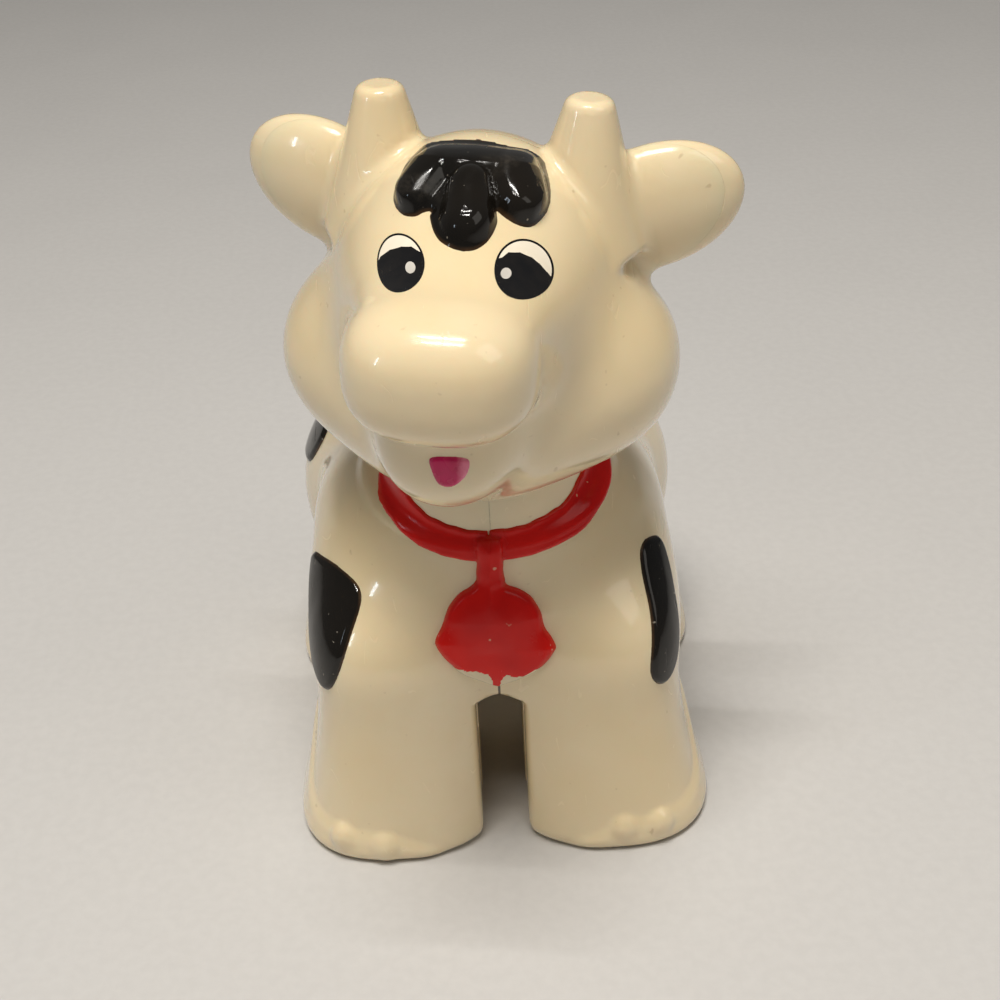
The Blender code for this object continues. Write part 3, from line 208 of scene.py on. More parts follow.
# Frames: the body stands at the origin until the whole part is centred
NECK_HEIGHT = NECK_PLACE_SHARES[1] * BACK_HEIGHT
PIVOT = Vector((0.0, -NECK_PLACE_SHARES[0] * BODY_LENGTH, NECK_HEIGHT))
ARCH_PLACE = LEG_PITCH * ARCH_SHIFT_SHARE
TILT_FRAME = Matrix.Rotation(NECK_TILT, 4, "X")
NECK_FRAME = Matrix.Translation(PIVOT) @ TILT_FRAME
TAIL_ROOT_HEIGHT = TAIL_ROOT_SHARE * BACK_HEIGHT
HEAD_PLACE = NECK_FRAME @ Matrix.Rotation(HEAD_TURN, 4, "Z") @ TILT_FRAME.inverted()
SPLIT_LEAN = math.radians(-4.0)
SPLIT_FRAME = Matrix.Rotation(SPLIT_LEAN, 4, "X")
FACE_VIEW = math.radians(25.0)
UPRIGHT = math.radians(90.0)
HEAD_AHEAD = Matrix.Translation((0.0, 0.0, HEAD_DEPTH + MUZZLE_LENGTH))
FACE_FRAME = Matrix.Rotation(UPRIGHT - FACE_VIEW, 4, "X") @ HEAD_AHEAD
MOUTH_FRAME = Matrix.Rotation(UPRIGHT, 4, "X") @ HEAD_AHEAD


def smooth_join(a, b, blend):
    """Distance to two lumps joined with a fillet about as wide as the blend."""
    share = np.clip(0.5 + 0.5 * (b - a) / blend, 0.0, 1.0)
    return b + (a - b) * share - blend * share * (1.0 - share)


def smooth_cut(a, b, blend):
    """Distance to lump a with lump b taken away, its edge rounded by the blend."""
    return -smooth_join(-a, b, blend)


def ellipsoid(points, centre, radii):
    """Near enough the distance to an ellipsoid, and well below zero all through its middle."""
    scaled = (points - np.array(centre)) / np.array(radii)
    reach = np.linalg.norm(scaled, axis=1)
    steepness = np.linalg.norm(scaled / np.array(radii), axis=1)
    return np.maximum(reach, 0.5) * (reach - 1.0) / np.maximum(steepness, 0.5 / max(radii))


def rounded_block(points, centre, radii, squareness):
    """Distance to a superellipsoid: 2 is an ellipsoid, and more is squarer."""
    scaled = np.abs(points - np.array(centre)) / np.array(radii)
    reach = (scaled**squareness).sum(axis=1) ** (1.0 / squareness)
    return (reach - 1.0) * min(radii)


def column(points, centre, half_width, half_depth, squareness):
    """Distance to an upright column; its half width and depth may change with height."""
    across = np.abs(points[:, 0] - centre[0]) / half_width
    along = np.abs(points[:, 1] - centre[1]) / half_depth
    reach = (across**squareness + along**squareness) ** (1.0 / squareness)
    return (reach - 1.0) * np.minimum(half_width, half_depth)


def tapered_post(points, base, tip, base_radius, tip_radius, edge):
    """Distance to a truncated cone with rounded ends."""
    axis = np.array(tip) - np.array(base)
    length = np.linalg.norm(axis)
    axis = axis / length
    along = (points - np.array(base)) @ axis
    away = np.linalg.norm(points - np.array(base) - along[:, None] * axis, axis=1)
    radius = base_radius + (tip_radius - base_radius) * np.clip(along / length, 0.0, 1.0)
    side = away - radius
    end = np.abs(along - length / 2.0) - length / 2.0
    return -smooth_join(-side, -end, edge)


def scaled_by(shares, sizes):
    return tuple(share * size for share, size in zip(shares, sizes))


def joined_lumps(points, lumps, sizes, blend):
    total = None
    for centre, radii in lumps:
        lump = ellipsoid(points, scaled_by(centre, sizes), scaled_by(radii, sizes))
        total = lump if total is None else smooth_join(total, lump, blend)
    return total


def neck_axis():
    """The way the tilted neck points."""
    return np.array((0.0, -math.sin(NECK_TILT), math.cos(NECK_TILT)))


def neck_height(points, pivot):
    """Height along the tilted neck axis, from its pivot."""
    return (points - np.array(pivot)) @ neck_axis()


def leg(points, side, pitch, centre_y):
    """One leg as a squarish column that widens towards the sole."""
    height = np.clip(points[:, 2], 0.0, BELLY_HEIGHT)
    spread = HOOF_FLARE * (1.0 - height / BELLY_HEIGHT) ** HOOF_SPREAD_POWER
    return column(
        points,
        (side * (pitch + spread) / 2.0, centre_y),
        (LEG_WIDTH + spread) / 2.0,
        (LEG_DEPTH + spread) / 2.0,
        LEG_SQUARENESS,
    )


def hoof_line(points, side, pitch, centre_y):
    """Height above the raised hoof's upper edge: high behind, low in front, and gone at the inner toe."""
    forward = (centre_y - points[:, 1]) / (LEG_DEPTH / 2.0)
    outward = side * points[:, 0] / pitch
    fade = np.clip((outward - HOOF_FADE_SHARES[0]) / HOOF_FADE_SHARES[1], -1.0, 1.0)
    low = HOOF_TOP_HEIGHT * HOOF_LOW_SHARE * fade
    fall = np.tanh(HOOF_LINE_STEEPNESS * (forward - HOOF_LINE_PLACE_SHARE))
    top = low + (HOOF_TOP_HEIGHT - low) * (1.0 - fall) / 2.0
    return points[:, 2] - top


def legs():
    """Side, pitch and place along Y of the four legs."""
    return [
        (side, pitch, end * LEG_PITCH / 2.0)
        for side in (-1.0, 1.0)
        for pitch, end in ((FRONT_LEG_PITCH, -1.0), (REAR_LEG_PITCH, 1.0))
    ]


def body_core(points):
    """Distance to the torso and legs, without hooves, soles and neck."""
    sizes = (HIP_WIDTH, BODY_LENGTH, BACK_HEIGHT)
    skin = joined_lumps(points, TORSO_LUMP_SHARES.values(), sizes, TORSO_BLEND)
    chest = rounded_block(
        points,
        scaled_by(CHEST_LUMP_SHARES[0], sizes),
        scaled_by(CHEST_LUMP_SHARES[1], sizes),
        CHEST_SQUARENESS,
    )
    skin = smooth_join(skin, chest, TORSO_BLEND)
    for side, pitch, centre_y in legs():
        post = leg(points, side, pitch, centre_y)
        cap = points[:, 2] - BACK_HEIGHT * LEG_CAP_SHARE
        skin = smooth_join(skin, smooth_cut(post, -cap, LEG_BLEND * CAP_BLEND_SHARE), LEG_BLEND)
    return skin


def body_form(points):
    """Distance to the body's outer skin, without the gaps between the legs."""
    skin = body_core(points)
    for side, pitch, centre_y in legs():
        shoe = leg(points, side, pitch, centre_y) - HOOF_STEP
        shoe = smooth_cut(shoe, -hoof_line(points, side, pitch, centre_y), HOOF_EDGE)
        skin = smooth_join(skin, shoe, HOOF_EDGE)
    axis = neck_axis()
    top = np.array(PIVOT) - axis * TURNING_GAP
    foot = top - axis * NECK_STUB_LENGTH
    deep = top - axis * NECK_STUB_LENGTH * NECK_ROOT_DEPTH_SHARE
    radius = NECK_FOOT_DIAMETER / 2.0
    root = tapered_post(points, deep, foot, radius * NECK_ROOT_SHARE, radius, RIM_BLEND)
    skin = smooth_join(skin, root, LEG_BLEND)
    stub = tapered_post(points, foot, top, radius, NECK_TOP_DIAMETER / 2.0, RIM_BLEND * EDGE_BLEND_SHARE)
    skin = smooth_join(skin, stub, RIM_BLEND)
    return smooth_cut(skin, points[:, 2] + SOLE_EDGE_ROUND * SOLE_SINK_SHARE, SOLE_EDGE_ROUND)


def turned_points(points, centre, rise, sweep, side):
    """Points in a lump's own frame, after a rise about Y and a sweep about Z."""
    turn = Matrix.Rotation(side * sweep, 3, "Z") @ Matrix.Rotation(-side * rise, 3, "Y")
    return (points - np.array(centre)) @ np.array(turn)


def head_core(points):
    """Distance to the head without its ears and horns, in the frame of the neck's pivot."""
    sizes = (HEAD_WIDTH, HEAD_DEPTH, HEAD_HEIGHT)
    skin = joined_lumps(points, HEAD_LUMP_SHARES.values(), sizes, HEAD_BLEND)
    muzzle = rounded_block(
        points,
        scaled_by(MUZZLE_PLACE_SHARES, sizes),
        (MUZZLE_WIDTH / 2.0, MUZZLE_LENGTH / 2.0, MUZZLE_HEIGHT / 2.0),
        MUZZLE_SQUARENESS,
    )
    skin = smooth_join(skin, muzzle, MUZZLE_BLEND)
    chin = ellipsoid(points, scaled_by(CHIN_LUMP_SHARES[0], sizes), scaled_by(CHIN_LUMP_SHARES[1], sizes))
    skin = smooth_join(skin, chin, MUZZLE_BLEND * EDGE_BLEND_SHARE)
    reach = neck_axis() * HEAD_SKIRT_LENGTH
    radius = NECK_TOP_DIAMETER / 2.0
    skin = smooth_join(skin, tapered_post(points, -reach, reach, radius, radius, RIM_BLEND), LEG_BLEND)
    return smooth_cut(skin, neck_height(points, (0.0, 0.0, 0.0)), RIM_BLEND)


def head_form(points):
    """Distance to the head's outer skin, in the frame of the neck's pivot."""
    sizes = (HEAD_WIDTH, HEAD_DEPTH, HEAD_HEIGHT)
    skin = head_core(points)
    for side in (-1.0, 1.0):
        root = scaled_by((side * EAR_PLACE_SHARES[0],) + EAR_PLACE_SHARES[1:], sizes)
        own = turned_points(points, root, EAR_RISE, EAR_SWEEP, side)
        ear = ellipsoid(
            own,
            (side * EAR_LENGTH * EAR_SHIFT_SHARE, 0.0, 0.0),
            (EAR_LENGTH / 2.0, EAR_THICKNESS / 2.0, EAR_WIDTH / 2.0),
        )
        skin = smooth_join(skin, ear, EAR_BLEND)
        place = (side * HORN_PLACE_SHARES[0],) + HORN_PLACE_SHARES[1:]
        foot = scaled_by(place, (HORN_PITCH, HEAD_DEPTH, HEAD_HEIGHT))
        rise = (side * math.sin(HORN_LEAN), 0.0, math.cos(HORN_LEAN))
        tip = tuple(start + HORN_LENGTH * step for start, step in zip(foot, rise))
        edge = HORN_TIP_DIAMETER * HORN_EDGE_SHARE
        horn = tapered_post(points, foot, tip, HORN_BASE_DIAMETER / 2.0, HORN_TIP_DIAMETER / 2.0, edge)
        skin = smooth_join(skin, horn, HORN_BLEND)
    return skin


def skin_mesh(name, distance, low, high, cell):
    """A closed quad mesh of the surface where distance is zero: one vertex in each grid cell it crosses."""
    low = np.array(low)
    counts = np.ceil((np.array(high) - low) / cell).astype(int) + 1
    lines = [low[i] + cell * np.arange(counts[i]) for i in range(3)]
    grid = np.stack(np.meshgrid(*lines, indexing="ij"), axis=-1)
    values = distance(grid.reshape(-1, 3)).reshape(counts)

    def corner(array, offset):
        return array[tuple(slice(o, counts[i] - 1 + o) for i, o in enumerate(offset))]

    corners = [(i, j, k) for i in (0, 1) for j in (0, 1) for k in (0, 1)]
    full = sum((corner(values, c) < 0.0).astype(int) for c in corners)
    crossed = (full > 0) & (full < 8)
    number = np.full(crossed.shape, -1)
    number[crossed] = np.arange(crossed.sum())
    base = np.argwhere(crossed).astype(float)
    place = np.zeros_like(base)
    weight = np.zeros(len(base))
    for axis in range(3):
        for start in [c for c in corners if c[axis] == 0]:
            end = tuple(1 if i == axis else o for i, o in enumerate(start))
            first = corner(values, start)[crossed]
            last = corner(values, end)[crossed]
            cut = (first < 0.0) != (last < 0.0)
            share = np.where(cut, first / np.where(cut, first - last, 1.0), 0.0)
            point = base + np.array(start)
            point[:, axis] += share
            place += point * cut[:, None]
            weight += cut
    vertices = low + cell * place / weight[:, None]
    faces = []
    for axis in range(3):
        u, v = (axis + 1) % 3, (axis + 2) % 3
        span = [slice(1, counts[i] - 1) for i in range(3)]
        span[axis] = slice(0, counts[axis] - 1)
        far = list(span)
        far[axis] = slice(1, counts[axis])
        first, last = values[tuple(span)] < 0.0, values[tuple(far)] < 0.0
        where = np.argwhere(first != last)
        rising = first[first != last]
        start = where + np.array([s.start for s in span])
        step_u, step_v = np.eye(3, dtype=int)[u], np.eye(3, dtype=int)[v]
        ring = [start, start - step_u, start - step_u - step_v, start - step_v]
        quads = np.stack([number[tuple(cell_index.T)] for cell_index in ring], axis=1)
        quads[rising] = quads[rising][:, ::-1]
        faces.append(quads)
    vertices = settled(vertices, distance, cell)
    mesh = bpy.data.meshes.new(name)
    mesh.from_pydata(vertices.tolist(), [], np.concatenate(faces)[:, ::-1].tolist())
    mesh.validate()
    return mesh


def slope(points, distance, reach):
    """The distance's gradient, by differences over a small reach."""
    steps = np.eye(3) * reach
    return np.stack([(distance(points + s) - distance(points - s)) / (2.0 * reach) for s in steps], axis=1)


def settled(vertices, distance, cell):
    """Vertices drawn onto the surface, each at most part of a cell from where it was."""
    for _ in range(3):
        gradient = slope(vertices, distance, cell * SETTLE_SHARES[0])
        steepness = np.maximum((gradient**2).sum(axis=1), SETTLE_SHARES[0])
        move = -gradient * (distance(vertices) / steepness)[:, None]
        limit = cell * SETTLE_SHARES[1]
        size = np.maximum(np.linalg.norm(move, axis=1), limit)
        vertices = vertices + move * (limit / size)[:, None]
    return vertices


def cast(starts, direction, distance):
    """Points where rays first meet a skin."""
    points = np.array(starts, dtype=float)
    for _ in range(RAY_STEPS):
        points = points + np.array(direction) * (RAY_STEP_SHARE * distance(points))[:, None]
    return points


def smooth_ring(points, copies):
    """A closed outline through the points, rounded, with this many points in each gap."""
    points = np.array(points, dtype=float)
    ring = []
    for i in range(len(points)):
        a, b, c, d = (points[(i + k) % len(points)] for k in (-1, 0, 1, 2))
        for s in np.arange(copies) / copies:
            square = (2.0 * a - 5.0 * b + 4.0 * c - d) * s**2
            cube = (3.0 * b - a - 3.0 * c + d) * s**3
            ring.append((2.0 * b + (c - a) * s + square + cube) / 2.0)
    return np.array(ring)


def rump_place(height, away):
    """A place on the seam this far behind the rump's skin."""
    seat = cast([(0.0, BODY_LENGTH, height)], (0.0, -1.0, 0.0), body_form)[0]
    return Vector(seat) + Vector((0.0, away, 0.0))


def tail_path(first, last, steps, width):
    """Centres and radii down the rump between two heights; width gives each radius from a share."""
    path = []
    for step in range(steps + 1):
        share = step / steps
        radius = width(share)
        path.append((rump_place(first + (last - first) * share, radius + CLEARANCE * 2.0), radius))
    return path


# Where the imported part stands: it was centred, and this is how far that moved it
SHIFT = Vector(frame["joints"][0]["pos_m"]) - PIVOT
BODY_AT = Matrix.Translation(SHIFT)
HEAD_AT = BODY_AT @ HEAD_PLACE

# Fine forms: the CAD's own lumps with the small shapes of the moulding
COARSER = 1.0
BODY_CELL = 0.75 * MM * COARSER
HEAD_CELL = 0.7 * MM * COARSER
RELIEF_CELL = 0.4 * MM * COARSER
DRAPE_CELL = 0.25 * MM * COARSER
EDGE_SINK = 0.06 * MM
NECK_REACH = 24.0 * MM
SEAM_GAP = 0.01 * MM
HEAD_SEAM_GAP = 0.012 * MM
SEAM_BEND = 5.5 * MM
TOE_BUMPS = (
    (-26.3, -37.1, 4.2),
    (-19.8, -38.9, 3.2),
    (19.0, -38.7, 4.3),
    (24.8, -37.8, 4.1),
)


def as_mm(points):
    return np.array(points, dtype=float) * MM


def bore(points, centre, pairs):
    """Distance to round bores along the tilted neck axis; each pair has a radius, and heights from and to."""
    axis = np.array((0.0, -math.sin(NECK_TILT), math.cos(NECK_TILT)))
    height = (points - np.array(centre)) @ axis
    away = np.linalg.norm(points - np.array(centre) - height[:, None] * axis, axis=1)
    total = None
    for radius, low, high in pairs:
        part = np.maximum(away - radius, np.maximum(low - height, height - high))
        total = part if total is None else np.minimum(total, part)
    return total


def fine_body(points):
    """The body with toes, neck bore and the gaps under the belly, whose front ends in a small peak."""
    skin = body_form(points)
    for bump in as_mm(TOE_BUMPS):
        toe = ellipsoid(points, bump, (2.3 * MM, 2.0 * MM, 2.5 * MM))
        skin = smooth_join(skin, toe, 0.9 * MM)
    half = CHANNEL_WIDTH / 2.0 + 0.14 * MM
    mouth = np.clip((-points[:, 1] - 24.0 * MM) / (9.0 * MM), 0.0, 1.0)
    roof = BELLY_HEIGHT - np.abs(points[:, 0]) * mouth * 0.2
    channel = -smooth_join(-(np.abs(points[:, 0]) - half), -(points[:, 2] - roof), 0.5 * MM)
    skin = smooth_cut(skin, channel, 0.9 * MM)
    across = np.abs(points[:, 1] - ARCH_PLACE) - ARCH_LENGTH / 2.0
    arch = -smooth_join(-across, -(points[:, 2] - BELLY_HEIGHT), 5.0 * MM)
    skin = smooth_cut(skin, arch, 2.4 * MM)
    seat = bore(points, PIVOT, ((9.2 * MM, -8.5 * MM, 5.0 * MM), (11.9 * MM, -6.3 * MM, -3.2 * MM)))
    return np.maximum(skin, -seat)


def fine_head(points):
    """The head with its neck bore."""
    skin = head_form(points)
    seat = bore(points, (0.0, 0.0, 0.0), ((9.2 * MM, -5.0 * MM, 6.2 * MM), (11.4 * MM, 3.2 * MM, 6.2 * MM)))
    return np.maximum(skin, -seat)


def along_normals(vertices, distance, reach):
    gradient = slope(vertices, distance, reach)
    return gradient / np.maximum(np.linalg.norm(gradient, axis=1), 1e-9)[:, None]


def hollowness(vertices, normals, distance, reach):
    """How far each place sits in a hollow: 0 in the open, towards 1 in a tight corner."""
    steepness = np.maximum(np.linalg.norm(slope(vertices, distance, reach * 0.2), axis=1), 0.2)
    ahead = distance(vertices + normals * reach) / (steepness * reach)
    return np.clip(1.0 - ahead, 0.0, 1.0)


def values_on(mesh, name, values):
    layer = mesh.attributes.new(name, "FLOAT", "POINT")
    layer.data.foreach_set("value", np.asarray(values, dtype=np.float32))


def vertices_of(mesh):
    found = np.zeros(len(mesh.vertices) * 3)
    mesh.vertices.foreach_get("co", found)
    return found.reshape(-1, 3)


def cut_side(mesh, side, gap, turn):
    """Keeps the part of the mesh on one side of a plane, with a flat face on the cut."""
    out = Vector(turn @ Vector((1.0, 0.0, 0.0)))
    shape = bmesh.new()
    shape.from_mesh(mesh)
    flat = shape.faces.layers.int.new("flat")
    everything = shape.verts[:] + shape.edges[:] + shape.faces[:]
    cut = bmesh.ops.bisect_plane(
        shape,
        geom=everything,
        dist=1e-8,
        plane_co=out * side * gap,
        plane_no=-out * side,
        clear_outer=True,
    )
    edges = [e for e in cut["geom_cut"] if isinstance(e, bmesh.types.BMEdge)]
    filled = bmesh.ops.triangle_fill(shape, use_beauty=True, edges=edges)
    for face in filled["geom"]:
        if isinstance(face, bmesh.types.BMFace):
            face[flat] = 1
            if face.normal.dot(out) * side > 0.0:
                face.normal_flip()
    shape.to_mesh(mesh)
    shape.free()


def piece_of(name, mesh, distance, place, body, paint, node=None, reach=0.06 * MM, flat_tips=None):
    """A finished piece: its normals follow the form exactly, and it stands where the CAD node stands."""
    vertices = vertices_of(mesh)
    normals = along_normals(vertices, distance, reach)
    values_on(mesh, "hollow", hollowness(vertices, normals, distance, 2.2 * MM))
    turned_normals = normals @ np.array(place.to_3x3()).T
    mesh.transform(place)
    mesh.shade_smooth()
    corner_vertices = np.zeros(len(mesh.loops), dtype=int)
    mesh.loops.foreach_get("vertex_index", corner_vertices)
    split = turned_normals[corner_vertices]
    flat = mesh.attributes.get("flat")
    if flat is not None:
        for face, mark in zip(mesh.polygons, flat.data):
            if mark.value:
                split[face.loop_start : face.loop_start + face.loop_total] = np.array(face.normal)
    mesh.normals_split_custom_set(split.tolist())
    piece = bpy.data.objects.new(name, mesh)
    bpy.context.scene.collection.objects.link(piece)
    mesh.materials.append(paint)
    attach(piece, body)
    if node:
        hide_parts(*node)
    return piece


def node_box(nodes, place, margin):
    """The box of CAD nodes in the frame of a form, with a margin."""
    back = np.array(place.inverted())
    found = np.concatenate([vertices_of(frame["nodes"][name].data) for name in nodes])
    found = found @ back[:3, :3].T + back[:3, 3]
    return found.min(axis=0) - margin, found.max(axis=0) + margin


def depth_in(flat, ring):
    """How far points on a drawing plane lie inside a closed outline; below zero is outside."""
    nearest = np.full(len(flat), np.inf)
    crossings = np.zeros(len(flat), dtype=int)
    for start, end in zip(ring, np.roll(ring, -1, axis=0)):
        way = end - start
        along = np.clip((flat - start) @ way / max(way @ way, 1e-18), 0.0, 1.0)
        nearest = np.minimum(nearest, np.linalg.norm(flat - start - along[:, None] * way, axis=1))
        over = (start[1] > flat[:, 1]) != (end[1] > flat[:, 1])
        rise = way[1] if abs(way[1]) > 1e-12 else 1e-12
        crossings += over & (flat[:, 0] < start[0] + (flat[:, 1] - start[1]) * way[0] / rise)
    return np.where(crossings % 2 == 1, nearest, -nearest)


def drawn_on(points, plane):
    """Points as (across, up) on a drawing plane."""
    back = np.array(plane.inverted())
    return (points @ back[:3, :3].T + back[:3, 3])[:, :2]


def pillow(depth, width):
    """A rounded edge of this width: 0 on the outline, 1 inside, and falling away outside."""
    share = depth / width
    return np.where(share < 0.0, 2.2 * share, 1.0 - (1.0 - np.clip(share, 0.0, 1.0)) ** 2.2)


def chart_of(plane):
    """Rays straight down onto a drawing plane's skin."""
    turn = np.array(plane.to_3x3())

    def chart(flat):
        starts = np.column_stack([flat, np.zeros(len(flat))]) @ turn.T + np.array(plane.translation)
        return starts, np.tile(-turn[:, 2], (len(flat), 1))

    return chart


def collar_chart(flat):
    """Rays in to the tilted neck axis: around it by arc length from the front seam, and along it."""
    angle = flat[:, 0] / NECK_REACH
    turn = np.array(TILT_FRAME.to_3x3())
    out = np.column_stack([np.sin(angle), -np.cos(angle), np.zeros(len(angle))]) @ turn.T
    starts = np.array(PIVOT) + flat[:, 1:] * turn[:, 2] + out * NECK_REACH * 1.7
    return starts, -out


def sheet_grid(low, high, cell):
    lines = [np.linspace(low[i], high[i], max(3, round((high[i] - low[i]) / cell))) for i in (0, 1)]
    return np.stack(np.meshgrid(*lines), axis=-1)


def cut_faces(grid, depths):
    """Faces over the places with a depth above zero, and the grid edges that the outline cuts."""
    rows, columns = depths.shape
    inside = depths.ravel() > 0.0
    number = np.arange(rows * columns).reshape(rows, columns)
    corners = [number[:-1, :-1], number[:-1, 1:], number[1:, 1:], number[1:, :-1]]
    cells = np.stack(corners, axis=-1).reshape(-1, 4)
    filled = inside[cells].sum(axis=1)
    faces = cells[filled == 4].tolist()
    cuts = {}
    for cell in cells[(filled > 0) & (filled < 4)].tolist():
        face = []
        for a, b in zip(cell, cell[1:] + cell[:1]):
            if inside[a]:
                face.append(a)
            if inside[a] != inside[b]:
                face.append(cuts.setdefault((min(a, b), max(a, b)), rows * columns + len(cuts)))
        faces.append(face)
    return faces, np.array(list(cuts), dtype=int).reshape(-1, 2)


def draped(name, node, chart, low, high, form, depth, height, place, body, slot, paint, cell=DRAPE_CELL):
    """A sheet on a skin, inside an outline and over the skin by a height, cut cleanly at its edge."""
    grid = sheet_grid(low, high, cell)
    flat = grid.reshape(-1, 2)
    depths = depth(cast(*chart(flat), form))
    faces, cuts = cut_faces(grid, depths.reshape(grid.shape[:2]))
    first, last = cuts[:, 0], cuts[:, 1]
    share = depths[first] / (depths[first] - depths[last])
    flat = np.concatenate([flat, flat[first] + (flat[last] - flat[first]) * share[:, None]])
    edge = np.arange(len(flat)) >= len(depths)
    used, numbers = np.unique(np.concatenate([np.array(face) for face in faces]), return_inverse=True)
    ends = np.cumsum([len(face) for face in faces])[:-1]
    faces = [part.tolist() for part in np.split(numbers, ends)]
    seats = cast(*chart(flat[used]), form)
    out = along_normals(seats, form, 0.06 * MM)
    rises = np.where(edge[used], -EDGE_SINK, height(seats))
    steep = slope(seats, height, 0.04 * MM)
    steep -= (steep * out).sum(axis=1)[:, None] * out
    normals = out - steep
    normals /= np.linalg.norm(normals, axis=1)[:, None]
    mesh = bpy.data.meshes.new(name)
    mesh.from_pydata((seats + out * rises[:, None]).tolist(), [], faces)
    mesh.update()
    flip = (np.array(mesh.polygons[0].normal) * normals[faces[0][0]]).sum() < 0.0
    if flip:
        mesh.flip_normals()
    values_on(mesh, "rim", 1.0 - np.clip(depth(seats) / (0.5 * MM), 0.0, 1.0))
    mesh.transform(place)
    mesh.shade_smooth()
    corners = np.zeros(len(mesh.loops), dtype=int)
    mesh.loops.foreach_get("vertex_index", corners)
    mesh.normals_split_custom_set((normals @ np.array(place.to_3x3()).T)[corners].tolist())
    mesh.materials.append(paint)
    piece = bpy.data.objects.new(name, mesh)
    bpy.context.scene.collection.objects.link(piece)
    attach(piece, body)
    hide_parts(node)
    return piece, seats


# Materials: every slot is a small node tree of noise in metres, so that it stays on the piece as it turns
def add(tree, kind, sockets=(), **settings):
    made = tree.nodes.new(kind)
    for key, value in settings.items():
        setattr(made, key, value)
    for key, value in dict(sockets).items():
        if isinstance(value, bpy.types.NodeSocket):
            tree.links.new(value, made.inputs[key])
        else:
            made.inputs[key].default_value = value
    return made


def noise(tree, scale, low, high, detail=3.0, stretch=None, shift=(0.0, 0.0, 0.0)):
    """A field from 0 to 1: noise of this many waves in a metre, spread between two of its values."""
    where = add(tree, "ShaderNodeTexCoord").outputs["Object"]
    spread = {"Vector": where, "Location": shift, "Scale": stretch or (1.0, 1.0, 1.0)}
    where = add(tree, "ShaderNodeMapping", spread).outputs[0]
    field = add(tree, "ShaderNodeTexNoise", {"Vector": where, "Scale": scale, "Detail": detail})
    sockets = {"Value": field.outputs["Fac"], "From Min": low, "From Max": high}
    return add(tree, "ShaderNodeMapRange", sockets).outputs[0]


def ramp(tree, value, low, high):
    """0 where the value is low, and 1 where it is high."""
    return add(tree, "ShaderNodeMapRange", {"Value": value, "From Min": low, "From Max": high}).outputs[0]


def attribute(tree, name, low=0.0, high=1.0):
    return ramp(tree, add(tree, "ShaderNodeAttribute", attribute_name=name).outputs["Fac"], low, high)


def times(tree, a, b):
    return add(tree, "ShaderNodeMath", {0: a, 1: b}, operation="MULTIPLY").outputs[0]


def minus(tree, a, b):
    return add(tree, "ShaderNodeMath", {0: a, 1: b}, operation="SUBTRACT").outputs[0]


def apart(tree, a, b):
    return add(tree, "ShaderNodeMath", {0: minus(tree, a, b)}, operation="ABSOLUTE").outputs[0]


def plus(tree, a, b):
    return add(tree, "ShaderNodeMath", {0: a, 1: b}, operation="ADD", use_clamp=True).outputs[0]


def blended(tree, share, a, b):
    """Colour a where the share is 0, and b where it is 1."""
    sockets = {0: share}
    for key, value in ((6, a), (7, b)):
        sockets[key] = (*value, 1.0) if isinstance(value, tuple) else value
    return add(tree, "ShaderNodeMix", sockets, data_type="RGBA").outputs[2]


def bumped(tree, layers):
    """Bumps laid over each other: pairs of a height field and its depth in metres."""
    normal = None
    for field, depth in layers:
        sockets = {"Height": field, "Distance": depth, "Strength": 1.0}
        if normal is not None:
            sockets["Normal"] = normal
        normal = add(tree, "ShaderNodeBump", sockets).outputs[0]
    return normal


def scratches(tree, scale, stretch, width):
    """Fine lines: where a drawn-out noise passes its middle value, kept only in a few places."""
    drawn = noise(tree, scale, 0.0, 1.0, 1.0, stretch)
    line = ramp(tree, apart(tree, drawn, 0.5), width, 0.0)
    return times(tree, line, noise(tree, scale * 0.7, 0.6, 0.66, 2.0, shift=(3.1, 1.7, 0.4)))


def plastic(name, colour, roughness, normal, sockets=()):
    def made(tree):
        shader = tree.nodes["Principled BSDF"]
        tree.links.new(colour(tree), shader.inputs["Base Color"])
        tree.links.new(roughness(tree), shader.inputs["Roughness"])
        tree.links.new(normal(tree), shader.inputs["Normal"])
        for key, value in dict(sockets).items():
            shader.inputs[key].default_value = value

    material = bpy.data.materials.new(name)
    material.use_nodes = True
    made(material.node_tree)
    return material


def between(tree, share, low, high):
    sockets = {"Value": share, "To Min": low, "To Max": high}
    return add(tree, "ShaderNodeMapRange", sockets).outputs[0]


def cream_colour(light, dark, grime_and_shade):
    def colour(tree):
        found = blended(tree, noise(tree, 34.0, 0.35, 0.65), light, dark)
        found = blended(tree, times(tree, noise(tree, 420.0, 0.45, 0.75), 0.22), found, dark)
        found = blended(tree, times(tree, noise(tree, 700.0, 0.74, 0.82, 1.0), 0.3), found, grime_and_shade)
        # Darker in hollows and creases: painted shade where light is shut out, broken up by noise as some
        # dirt, in the grime colour
        hollow_shade_and_dirt = times(tree, attribute(tree, "hollow", 0.12, 0.75), noise(tree, 160.0, 0.2, 0.7))
        return blended(tree, times(tree, hollow_shade_and_dirt, 0.55), found, grime_and_shade)

    return colour


def cream_roughness(tree):
    found = between(tree, noise(tree, 90.0, 0.3, 0.7), 0.13, 0.24)
    found = plus(tree, found, times(tree, attribute(tree, "hollow", 0.1, 0.8), 0.2))
    return plus(tree, found, times(tree, scratches(tree, 260.0, (1.0, 0.05, 0.4), 0.012), 0.3))


def cream_normal(tree):
    return bumped(
        tree,
        [
            (noise(tree, 120.0, 0.0, 1.0, 1.0), 0.00012),
            (noise(tree, 900.0, 0.0, 1.0), 0.000012),
            (scratches(tree, 260.0, (1.0, 0.05, 0.4), 0.012), -0.00002),
        ],
    )


# The third colour serves the dust specks and the painted shade in hollows
CREAM = plastic(
    "cream_plastic",
    cream_colour((0.86, 0.72, 0.48), (0.82, 0.66, 0.40), (0.34, 0.20, 0.08)),
    cream_roughness,
    cream_normal,
    {"Coat Weight": 0.8, "Coat Roughness": 0.035, "Subsurface Weight": 0.12, "Subsurface Scale": 0.003},
)
